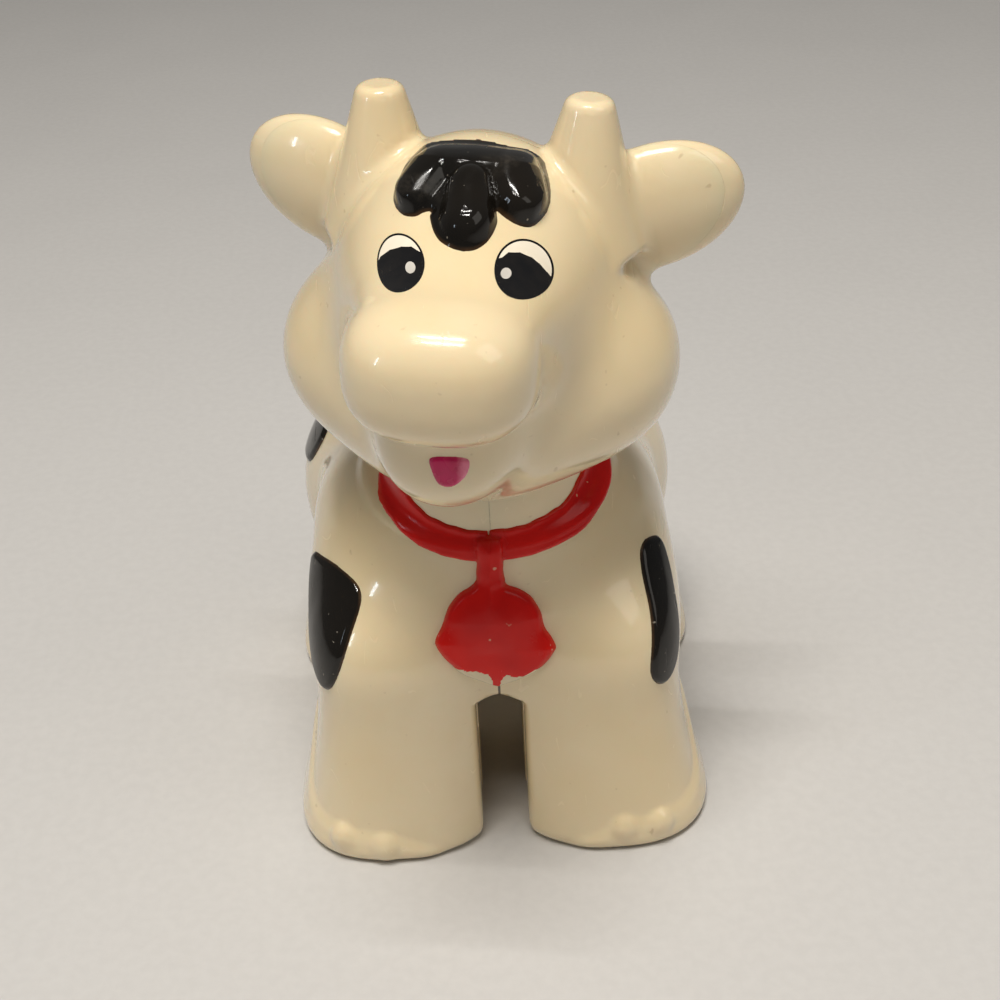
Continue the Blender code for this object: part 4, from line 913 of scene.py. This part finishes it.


# Where the body's seam line and the painted shade of the slit fade in, by distance from the middle, and the
# top of that painted shade by height
SEAM_LINE_FADE = (0.11 * MM, 0.04 * MM)
SLIT_SHADE_FADE = (0.24 * MM, 0.12 * MM)
SLIT_SHADE_TOP_FADE = (31.0 * MM, 30.4 * MM)


def seamed_colour(tree):
    """The cream with the thin dark line where the body's halves meet, and painted shade for the slit over the
    leg gap.
    """
    found = cream_colour((0.86, 0.72, 0.48), (0.82, 0.66, 0.40), (0.34, 0.20, 0.08))(tree)
    where = add(tree, "ShaderNodeTexCoord").outputs["Object"]
    parts = add(tree, "ShaderNodeSeparateXYZ", {0: where}).outputs
    off = apart(tree, parts[0], SHIFT.x)
    line = times(tree, ramp(tree, off, *SEAM_LINE_FADE), noise(tree, 260.0, 0.35, 0.75))
    slit_shade = times(tree, ramp(tree, off, *SLIT_SHADE_FADE), ramp(tree, parts[2], *SLIT_SHADE_TOP_FADE))
    found = blended(tree, times(tree, line, 0.6), found, (0.30, 0.16, 0.06))
    # Painted shade: a near-black strip where the open slit between the halves would be dark inside
    return blended(tree, slit_shade, found, (0.06, 0.03, 0.015))


BODY_CREAM = plastic(
    "cream_body_plastic",
    seamed_colour,
    cream_roughness,
    cream_normal,
    {"Coat Weight": 0.8, "Coat Roughness": 0.035, "Subsurface Weight": 0.12, "Subsurface Scale": 0.003},
)
# A darker, duller copy of the cream: painted shade for the pieces that sit in the gaps between the legs and
# under the head
SHADED_INNER_CREAM = plastic(
    "shaded_inner_cream_plastic",
    cream_colour((0.76, 0.64, 0.43), (0.68, 0.54, 0.33), (0.30, 0.18, 0.08)),
    cream_roughness,
    cream_normal,
    {"Coat Weight": 0.2, "Coat Roughness": 0.1},
)


def black_colour(tree):
    found = blended(tree, noise(tree, 60.0, 0.35, 0.65), (0.005, 0.0045, 0.004), (0.010, 0.008, 0.006))
    dust = times(tree, noise(tree, 95.0, 0.56, 0.72, 6.0), noise(tree, 1500.0, 0.3, 0.8))
    found = blended(tree, times(tree, dust, 0.14), found, (0.34, 0.29, 0.23))
    specks = noise(tree, 1300.0, 0.76, 0.80, 1.0)
    found = blended(tree, times(tree, specks, 0.4), found, (0.55, 0.5, 0.42))
    thin = times(tree, attribute(tree, "rim", 0.25, 1.0), noise(tree, 300.0, 0.25, 0.75))
    return blended(tree, thin, found, (0.10, 0.052, 0.022))


def black_roughness(tree):
    found = between(tree, noise(tree, 95.0, 0.5, 0.75, 6.0), 0.07, 0.34)
    return plus(tree, found, times(tree, scratches(tree, 330.0, (1.0, 0.12, 0.3), 0.02), 0.35))


def black_normal(tree):
    return bumped(
        tree,
        [
            (noise(tree, 190.0, 0.0, 1.0, 1.0), 0.00014),
            (noise(tree, 1400.0, 0.0, 1.0), 0.00001),
            (scratches(tree, 330.0, (1.0, 0.12, 0.3), 0.02), -0.00004),
        ],
    )


BLACK = plastic("black_paint", black_colour, black_roughness, black_normal, {"Specular IOR Level": 0.4})


def red_colour(tree):
    found = blended(tree, noise(tree, 70.0, 0.35, 0.65), (0.74, 0.010, 0.006), (0.56, 0.005, 0.004))
    edge = times(tree, attribute(tree, "rim", 0.1, 1.0), noise(tree, 240.0, 0.3, 0.7))
    found = blended(tree, times(tree, edge, 0.7), found, (0.72, 0.06, 0.02))
    specks = noise(tree, 700.0, 0.75, 0.79, 1.0, shift=(0.7, 0.2, 0.9))
    found = blended(tree, times(tree, specks, 0.6), found, (0.83, 0.62, 0.42))
    return blended(tree, attribute(tree, "bare", 0.45, 0.55), found, (0.80, 0.68, 0.48))


def red_roughness(tree):
    return between(tree, noise(tree, 150.0, 0.35, 0.7, 4.0), 0.12, 0.30)


def red_normal(tree):
    paint = minus(tree, 1.0, attribute(tree, "bare", 0.4, 0.6))
    return bumped(
        tree,
        [
            (noise(tree, 170.0, 0.0, 1.0, 1.0), 0.00016),
            (noise(tree, 800.0, 0.0, 1.0), 0.00003),
            (paint, 0.00004),
        ],
    )


RED = plastic("red_paint", red_colour, red_roughness, red_normal, {"Specular IOR Level": 0.25})


def pink_colour(tree):
    found = blended(tree, noise(tree, 300.0, 0.35, 0.65), (0.60, 0.006, 0.11), (0.42, 0.002, 0.06))
    return blended(tree, attribute(tree, "pale", 0.3, 1.0), found, (0.80, 0.20, 0.32))


def pink_roughness(tree):
    return between(tree, noise(tree, 400.0, 0.35, 0.7), 0.18, 0.34)


def pink_normal(tree):
    return bumped(tree, [(noise(tree, 500.0, 0.0, 1.0), 0.00003)])


PINK = plastic("pink_paint", pink_colour, pink_roughness, pink_normal)


def print_colour(light, dark):
    def colour(tree):
        return blended(tree, noise(tree, 500.0, 0.35, 0.65), light, dark)

    return colour


def eye_print(name, light, dark, roughness):
    return plastic(name, print_colour(light, dark), roughness, pink_normal)


EYE_BLACK = eye_print("eye_black_print", (0.006, 0.006, 0.007), (0.010, 0.009, 0.009), black_roughness)
EYE_CREAM = eye_print("eye_cream_print", (0.86, 0.79, 0.66), (0.83, 0.75, 0.61), cream_roughness)
EYE_DOT = eye_print("eye_dot_print", (0.62, 0.59, 0.54), (0.55, 0.52, 0.47), cream_roughness)


# The body and head mouldings
def make_body():
    low = np.array((-HIP_WIDTH * 0.68, -BODY_LENGTH * 0.75, -2.0 * MM))
    high = np.array((HIP_WIDTH * 0.68, BODY_LENGTH * 0.72, NECK_HEIGHT + NECK_STUB_LENGTH))
    whole = skin_mesh("body", fine_body, low, high, BODY_CELL)
    for side, name in ((1.0, "left"), (-1.0, "right")):
        mesh = whole.copy()
        cut_side(mesh, side, SEAM_GAP, Matrix.Identity(3))
        node = "body_shell_" + name
        piece_of("body_half_" + name, mesh, fine_body, BODY_AT, "body", BODY_CREAM, (node,))


def bent(mesh, sign, side):
    """Moves the crown, so that the flat cut crosses it behind the hair and gapes there and at an ear."""
    places = vertices_of(mesh)
    middle = np.clip((13.0 * MM - np.abs(places[:, 0])) / (5.0 * MM), 0.0, 1.0)
    crown = middle * np.clip((places[:, 2] - 30.0 * MM) / (8.0 * MM), 0.0, 1.0)
    tip = np.clip((places[:, 0] - 32.5 * MM) / (2.0 * MM), 0.0, 1.0)
    places[:, 1] += sign * (SEAM_BEND * crown - side * (0.11 * crown + 0.25 * tip) * MM)
    mesh.vertices.foreach_set("co", places.ravel())


def make_head():
    low = np.array((-HEAD_WIDTH * 0.9, -HEAD_DEPTH * 1.25, -3.0 * MM))
    high = np.array((HEAD_WIDTH * 0.9, HEAD_DEPTH * 0.7, HEAD_HEIGHT * 1.3))
    whole = skin_mesh("head", fine_head, low, high, HEAD_CELL)
    turn = SPLIT_FRAME.to_3x3() @ Matrix.Rotation(UPRIGHT, 3, "Z")
    for side, name, node in ((-1.0, "face_half", "face_shell"), (1.0, "rear_head_half", "rear_head_shell")):
        mesh = whole.copy()
        bent(mesh, 1.0, side)
        cut_side(mesh, side, HEAD_SEAM_GAP, turn)
        bent(mesh, -1.0, side)
        piece_of(name, mesh, fine_head, HEAD_AT, "head", CREAM, (node,))


def around_ring(ring):
    return ring.min(axis=0) - MM, ring.max(axis=0) + MM


# Hair: an outline, and rounded locks; each has two ends, two radii and a height, in mm on the face plane
HAIR_OUTLINE = (
    (-6.8, 38.7), (-3.6, 39.3), (0.5, 39.6), (4.1, 39.1), (7.0, 38.8), (9.0, 37.6), (9.8, 36.2),
    (10.6, 34.4), (11.1, 32.2), (10.8, 30.2), (9.5, 28.5), (7.7, 28.6), (5.9, 29.5), (5.0, 30.1),
    (5.3, 29.0), (5.2, 27.7), (4.5, 26.0), (3.1, 24.9), (1.0, 24.8), (-1.3, 25.7), (-2.6, 27.1),
    (-3.4, 28.8), (-3.3, 29.4), (-4.3, 29.2), (-5.4, 28.6), (-7.1, 28.7), (-8.6, 29.8), (-9.3, 31.3),
    (-9.1, 33.3), (-8.7, 35.7), (-7.8, 37.4),
)
HAIR_LOCKS = (
    ((-3.6, 35.9), (5.6, 36.3), 3.3, 3.3, 2.3),
    ((-4.0, 35.6), (-6.0, 31.5), 3.4, 3.2, 2.5),
    ((5.6, 35.8), (7.7, 31.4), 3.6, 3.5, 2.6),
    ((1.0, 32.6), (1.7, 28.6), 3.3, 4.2, 3.0),
)
HAIR_RING = smooth_ring(as_mm(HAIR_OUTLINE), 4)


def lock_height(flat, lock):
    start, end = as_mm(lock[0]), as_mm(lock[1])
    way = end - start
    along = np.clip((flat - start) @ way / (way @ way), 0.0, 1.0)
    radius = (lock[2] + (lock[3] - lock[2]) * along) * MM
    away = np.linalg.norm(flat - start - along[:, None] * way, axis=1) / radius
    return lock[4] * MM * (1.0 - away**2.5)


def hair_depth(points):
    return depth_in(drawn_on(points, FACE_FRAME), HAIR_RING)


def hair_height(points):
    flat = drawn_on(points, FACE_FRAME)
    height = np.full(len(points), 0.9 * MM)
    for lock in HAIR_LOCKS:
        height = -smooth_join(-height, -lock_height(flat, lock), 0.25 * MM)
    crown = np.clip((40.0 * MM - flat[:, 1]) / (5.0 * MM), 0.15, 1.0)
    return pillow(depth_in(flat, HAIR_RING), 1.7 * MM) * height * crown


def make_hair():
    low, high = around_ring(HAIR_RING)
    shape = (chart_of(FACE_FRAME), low, high, head_form, hair_depth, hair_height)
    draped("hair", "hair_tuft", *shape, HEAD_AT, "head", "black_paint", BLACK)


# Eyes: printed layers on the face plane: a centre, the ways to the side and top, and a pupil in these ways
EYES = {
    "right": ((-5.95, 22.74), np.array((3.08, 0.23)), np.array((-1.16, 3.35))),
    "left": ((9.49, 23.18), np.array((3.1, 0.26)), np.array((-0.7, 3.45))),
}
PUPIL_TOPS = {
    "right": ((0.95, 0.36), (0.56, 0.58), (0.11, 0.58), (-0.44, 0.46), (-0.9, 0.21), (-1.07, -0.06)),
    "left": ((0.87, -0.16), (0.59, 0.17), (0.3, 0.41), (-0.13, 0.59), (-0.57, 0.59), (-0.79, 0.41)),
}
EYE_DOTS = {"right": ((0.48, -0.21), 0.22), "left": ((-0.65, -0.18), 0.2)}


def printed(name, outline, plane, form, lift, paint, node=None):
    """A thin printed shape on a skin: rings drawn in towards its middle, with an edge down to the skin."""
    outline = np.array(outline)
    middle = outline.mean(axis=0)
    shares = (1.0, 1.0, 0.97, 0.8, 0.6, 0.4, 0.2)
    lifts = (-0.1 * MM, lift * 0.6, lift, lift, lift, lift, lift)
    flat = np.concatenate([middle + (outline - middle) * share for share in shares] + [middle[None, :]])
    count = len(outline)
    turn = np.array(plane.to_3x3())
    starts = np.column_stack([flat, np.zeros(len(flat))]) @ turn.T + np.array(plane.translation)
    seats = cast(starts, -turn[:, 2], form)
    normals = along_normals(seats, form, 0.05 * MM)
    raise_by = np.concatenate([np.full(count, value) for value in lifts] + [np.array((lift,))])
    vertices = seats + normals * raise_by[:, None]
    faces = []
    for ring in range(len(shares)):
        for k in range(count):
            m = (k + 1) % count
            a, b = ring * count + k, ring * count + m
            last = ring + 1 == len(shares)
            faces.append((a, b, len(flat) - 1) if last else (a, b, b + count, a + count))
    mesh = bpy.data.meshes.new(name)
    mesh.from_pydata(vertices.tolist(), [], faces)
    mesh.transform(HEAD_AT)
    mesh.shade_smooth()
    split = normals @ np.array(HEAD_AT.to_3x3()).T
    corner_vertices = np.zeros(len(mesh.loops), dtype=int)
    mesh.loops.foreach_get("vertex_index", corner_vertices)
    mesh.normals_split_custom_set(split[corner_vertices].tolist())
    mesh.materials.append(paint)
    piece = bpy.data.objects.new(name, mesh)
    bpy.context.scene.collection.objects.link(piece)
    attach(piece, "head")
    if node:
        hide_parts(node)


def make_eyes():
    for name, (centre, side_way, top_way) in EYES.items():

        def oval(points, grow=1.0):
            points = np.array(points, dtype=float) * grow
            return as_mm(np.array(centre) + points[:, :1] * side_way + points[:, 1:] * top_way)

        angles = np.arange(48) * math.tau / 48
        ring = np.column_stack([np.cos(angles), np.sin(angles)])
        top = np.array(PUPIL_TOPS[name])
        first, last = (math.atan2(y, x) for x, y in (top[0], top[-1]))
        low = np.linspace(last - math.tau if last > first else last, first, 34)[1:-1]
        pupil = np.concatenate([top, np.column_stack([np.cos(low), np.sin(low)])])
        dot_centre, dot_radius = EYE_DOTS[name]
        dot = np.array(dot_centre) + ring[::2] * dot_radius
        stack = (
            ("outline", oval(ring, 1.085), EYE_BLACK),
            ("white", oval(ring), EYE_CREAM),
            ("pupil", oval(pupil), EYE_BLACK),
            ("dot", oval(dot), EYE_DOT),
        )
        for level, (part, outline, paint) in enumerate(stack):
            lift = (0.05 + 0.035 * level) * MM
            node = "eye_" + name if part == "outline" else None
            printed("eye_" + part + "_" + name, outline, FACE_FRAME, head_form, lift, paint, node)


TONGUE = (
    (-0.5, 14.7), (2.1, 15.1), (4.3, 14.5), (4.4, 12.9), (3.7, 11.6), (2.3, 10.6), (0.8, 10.9),
    (-0.1, 12.5),
)
TONGUE_RING = smooth_ring(as_mm(TONGUE), 6)


def tongue_depth(points):
    return depth_in(drawn_on(points, MOUTH_FRAME), TONGUE_RING)


def make_tongue():
    def height(points):
        return 0.3 * MM * pillow(tongue_depth(points), 0.7 * MM)

    low, high = around_ring(TONGUE_RING)
    piece, seats = draped(
        "tongue_paint", "tongue", chart_of(MOUTH_FRAME), low, high, head_form, tongue_depth, height,
        HEAD_AT, "head", "pink_paint", PINK, DRAPE_CELL * 0.7,
    )
    values_on(piece.data, "pale", np.clip((seats[:, 0] - 2.5 * MM) / (1.2 * MM), 0.0, 1.0))


# Collar and bell: the band's lower edge by angle from the front and height along the neck, then the bell
COLLAR_LOWS = (
    (-180, -6.5), (-90, -7.0), (-62, -8.5), (-54, -9.0),
    (-47, -9.8), (-36, -10.8), (-22, -11.45), (-7, -11.7),
    (18, -11.7), (35, -11.5), (47, -11.2), (61, -10.1), (83, -8.8), (110, -7.5), (180, -6.5),
)
BAND_WIDTH = 4.4
BELL_OUTLINE = (
    (-2.3, 57.0), (-2.3, 53.5), (-2.5, 51.9), (-2.6, 50.6),
    (-3.5, 49.6), (-5.1, 48.6), (-6.3, 47.3), (-7.2, 45.9),
    (-8.2, 43.3), (-9.3, 41.3), (-9.1, 40.1), (-8.1, 38.4),
    (-6.8, 36.7), (-6.1, 35.6), (-4.4, 33.8), (-1.9, 31.8),
    (-0.1, 31.2), (1.2, 31.6), (3.3, 32.9), (5.9, 35.0), (7.5, 36.8), (8.5, 38.3), (9.0, 39.3), (8.4, 40.8),
    (7.4, 42.4), (7.0, 44.6), (6.3, 46.2), (5.4, 47.6), (3.7, 48.9), (2.0, 49.7), (1.8, 50.6), (1.6, 52.0),
    (1.6, 57.0),
)
BELL_EDGE = (
    (-7.0, 37.0), (-5.6, 36.2), (-4.3, 35.8), (-2.0, 34.8),
    (-1.3, 33.8), (-0.95, 31.0), (0.4, 31.0), (0.6, 33.4),
    (1.8, 34.8), (2.8, 34.3), (4.3, 34.5), (6.2, 36.0),
)
BELL_RING = smooth_ring(as_mm(BELL_OUTLINE), 3)


def band_depth(points):
    """How far inside the band's edges: it ends where the neck meets the back, and has a notch in front."""
    along = neck_height(points, PIVOT)
    turn = np.array(TILT_FRAME.to_3x3())
    flat = (points - np.array(PIVOT)) @ turn
    angle = np.degrees(np.arctan2(flat[:, 0], -flat[:, 1]))
    lows = np.array(COLLAR_LOWS)
    low = np.interp(angle, lows[:, 0], lows[:, 1]) * MM
    ripple = 0.12 * MM * np.sin(angle * 0.41) * np.sin(angle * 0.17 + 1.0)
    top = low + BAND_WIDTH * MM + ripple
    depth = np.minimum(along - low - 0.3 * ripple, top - along)
    notch = np.abs(points[:, 0] + 0.3 * MM) * 1.4 + np.maximum(top - 1.9 * MM - along, 0.0) * 2.0 - 0.15 * MM
    depth = np.where(np.abs(angle) < 20.0, np.minimum(depth, notch), depth)
    away = np.linalg.norm(flat[:, :2], axis=1)
    return np.minimum(depth, NECK_FOOT_DIAMETER / 2.0 + 3.0 * MM - away)


def bell_depth(points):
    depth = depth_in(np.column_stack([points[:, 0], points[:, 2]]), BELL_RING)
    return np.where(points[:, 1] < PIVOT.y, depth, -10.0 * MM)


def collar_depth(points):
    return np.maximum(band_depth(points), bell_depth(points))


def collar_height(points):
    depth = bell_depth(points)
    dome = np.clip(depth / (7.5 * MM), 0.0, 1.0)
    bell = 0.8 * MM * pillow(depth, 0.9 * MM) + 1.5 * MM * np.sqrt(dome * (2.0 - dome))
    band = 0.45 * MM * pillow(band_depth(points), 0.55 * MM)
    return -smooth_join(-np.maximum(band, -0.5 * MM), -np.maximum(bell, -0.5 * MM), 0.3 * MM)


def bell_bare(points):
    """Where the bell's foot has no paint: below a ragged line, which dips low by the seam."""
    across, up = points[:, 0], points[:, 2]
    line = np.array(BELL_EDGE) * MM
    edge = np.interp(across, line[:, 0], line[:, 1])
    edge += 0.12 * MM * np.sin(across * 5200.0) * np.sin(across * 1900.0)
    bare = np.clip(0.5 + (edge - up) / (0.15 * MM), 0.0, 1.0) * (up < 36.5 * MM)
    return bare


def make_collar():
    reach = math.pi * NECK_REACH
    for name, low, high in (("left", 0.0, reach), ("right", -reach, 0.0)):
        piece, seats = draped(
            "collar_" + name, "collar_bell_" + name, collar_chart, (low, -41.0 * MM), (high, -1.5 * MM),
            body_form, collar_depth, collar_height, BODY_AT, "body", "red_paint", RED,
        )
        values_on(piece.data, "bare", bell_bare(seats))


def make_patches():
    rows = (
        ("shoulder_patch_left", 1.0, SHOULDER_FACING, BAR_PATCH_SHARES),
        ("shoulder_patch_right", -1.0, SHOULDER_FACING, BROAD_PATCH_SHARES),
        ("hip_patch_left", 1.0, REAR_FACING, LOW_PATCH_SHARES),
        ("hip_patch_right", -1.0, HIP_FACING, HIGH_PATCH_SHARES),
    )
    for name, side, facing, shares in rows:
        turn = Matrix.Rotation(side * facing, 4, "Z") @ Matrix.Rotation(UPRIGHT, 4, "X")
        plane = Matrix.Translation(turn.to_3x3() @ Vector((0.0, 0.0, BODY_LENGTH))) @ turn
        outline = [(-side * u * BODY_LENGTH, v * BACK_HEIGHT) for u, v in shares]
        ring = smooth_ring(outline[::-1] if side > 0.0 else outline, 5)

        def depth(points, plane=plane, ring=ring):
            return depth_in(drawn_on(points, plane), ring)

        def height(points, depth=depth):
            return PATCH_THICKNESS * pillow(depth(points), 1.1 * MM)

        low, high = around_ring(ring)
        shape = (chart_of(plane), low, high, body_form, depth, height)
        draped(name + "_paint", name, *shape, BODY_AT, "body", "black_paint", BLACK)


def chain(points, path):
    """Distance to a round cord along (centre, radius) pairs."""
    total = np.full(len(points), 1.0)
    for (start, first), (end, last) in zip(path, path[1:]):
        way = np.array(end) - np.array(start)
        along = np.clip((points - np.array(start)) @ way / (way @ way), 0.0, 1.0)
        away = np.linalg.norm(points - np.array(start) - along[:, None] * way, axis=1)
        total = smooth_join(total, away - (first + (last - first) * along), 0.5 * MM)
    return total


def make_tail():
    half = TAIL_DIAMETER / 2.0
    first = TAIL_ROOT_HEIGHT + half
    root_radius = half * (1.0 - TAIL_TAPER_SHARE)
    top = first - TAIL_LENGTH
    tail = tail_path(first - half, top, 8, lambda share: half * (1.0 - TAIL_TAPER_SHARE * share))
    tuft = tail_path(top - 2.6 * MM, top - TUFT_LENGTH, 6, lambda share: 2.9 * MM * (1.0 - 0.62 * share))

    def tail_form(points):
        return smooth_join(chain(points, tail), np.maximum(body_form(points) + 0.4 * MM, 0.0), 1.6 * MM)

    def tuft_form(points):
        locks = 0.22 * MM * np.cos(6.0 * np.arctan2(points[:, 0], points[:, 1] - 44.0 * MM))
        return chain(points, tuft) + locks

    for name, form, slot, paint in (
        ("tail", tail_form, "cream_shell", CREAM),
        ("tail_tuft", tuft_form, "black_paint", BLACK),
    ):
        low, high = node_box((name,), BODY_AT, 1.5 * MM)
        mesh = skin_mesh(name, form, low, high, RELIEF_CELL)
        piece_of(name + "_fine", mesh, form, BODY_AT, "body", paint, (name,))


def finish_nodes():
    covers = ["leg_cover_" + end + "_" + side for end in ("front", "rear") for side in ("left", "right")]
    # The leg covers and neck spool take the darker copy of the cream, which paints their shade
    for name in (*covers, "neck_spool"):
        node = frame["nodes"][name]
        node.data.materials.clear()
        node.data.materials.append(SHADED_INNER_CREAM)


# Floor, lights and camera
FLOOR_REACH = 1.5
FLOOR_CELLS = 12


def make_stage():
    mesh = bpy.data.meshes.new("floor")
    steps = np.linspace(-FLOOR_REACH, FLOOR_REACH, FLOOR_CELLS + 1)
    vertices = [(x, y, 0.0) for y in steps for x in steps]
    row = FLOOR_CELLS + 1
    starts = [r * row + c for r in range(FLOOR_CELLS) for c in range(FLOOR_CELLS)]
    faces = [(start, start + 1, start + row + 1, start + row) for start in starts]
    mesh.from_pydata(vertices, [], faces)
    floor = bpy.data.objects.new("floor", mesh)
    bpy.context.scene.collection.objects.link(floor)
    mesh.materials.append(
        plastic(
            "floor_paper",
            print_colour((0.62, 0.61, 0.60), (0.60, 0.59, 0.58)),
            lambda tree: between(tree, noise(tree, 30.0, 0.3, 0.7), 0.6, 0.75),
            lambda tree: bumped(tree, [(noise(tree, 500.0, 0.0, 1.0), 0.00005)]),
        )
    )


def lamp(name, place, aim, size, power, colour, seen=True):
    light = bpy.data.lights.new(name, "AREA")
    light.shape = "RECTANGLE"
    light.size, light.size_y = size
    light.energy = power
    light.color = colour
    piece = bpy.data.objects.new(name, light)
    way = Vector(aim) - Vector(place)
    piece.matrix_world = Matrix.Translation(place) @ way.to_track_quat("-Z", "Y").to_matrix().to_4x4()
    piece.visible_glossy = seen
    bpy.context.scene.collection.objects.link(piece)


def around(reach, azimuth, elevation):
    """A place around the head: azimuth from the front towards the cow's left, and elevation, in degrees."""
    turn, rise = math.radians(azimuth), math.radians(elevation)
    way = Vector((math.sin(turn) * math.cos(rise), -math.cos(turn) * math.cos(rise), math.sin(rise)))
    return Vector((0.0, -0.02, 0.09)) + way * reach


def make_lights():
    aim = (0.0, -0.02, 0.07)
    lamp("key", around(0.8, -25.0, 74.0), aim, (0.34, 0.34), 4.3, (1.0, 0.94, 0.85), False)
    lamp("side", around(0.9, 60.0, 45.0), aim, (0.4, 0.5), 0.7, (1.0, 0.95, 0.87))
    lamp("strip_near", around(0.7, -8.0, 76.0), aim, (0.26, 0.008), 1.2, (1.0, 0.97, 0.92))
    lamp("strip_far", around(0.7, -8.0, 86.0), aim, (0.26, 0.008), 1.2, (1.0, 0.97, 0.92))
    lamp("window", around(0.7, -62.0, 22.0), aim, (0.03, 0.16), 0.2, (0.75, 0.88, 1.0))
    world = bpy.data.worlds.new("room")
    bpy.context.scene.world = world
    world.use_nodes = True
    world.node_tree.nodes["Background"].inputs[0].default_value = (0.13, 0.128, 0.124, 1.0)


CAMERA_AIM = Vector((0.00154, -0.02129, 0.062))
CAMERA_REACH = 0.2363
CAMERA_LENS = 57.6
CAMERA_PITCH = math.radians(33.0)
CAMERA_SIDE = math.radians(-0.55)
CAMERA_ROLL = math.radians(-2.9)


def make_camera():
    data = bpy.data.cameras.new("camera")
    data.sensor_width = 36.0
    data.lens = CAMERA_LENS
    data.clip_start = 0.01
    camera = bpy.data.objects.new("camera", data)
    bpy.context.scene.collection.objects.link(camera)
    flat = math.cos(CAMERA_PITCH)
    back = Vector((math.sin(CAMERA_SIDE) * flat, -math.cos(CAMERA_SIDE) * flat, math.sin(CAMERA_PITCH)))
    look = (-back).to_track_quat("-Z", "Y").to_matrix().to_4x4()
    roll = Matrix.Rotation(CAMERA_ROLL, 4, "Z")
    camera.matrix_world = Matrix.Translation(CAMERA_AIM + back * CAMERA_REACH) @ look @ roll
    bpy.context.scene.camera = camera


make_body()
make_head()
make_hair()
make_eyes()
make_tongue()
make_collar()
make_patches()
make_tail()
finish_nodes()
make_stage()
make_lights()
make_camera()
bpy.context.scene.view_settings.view_transform = "Standard"
bpy.context.view_layer.update()
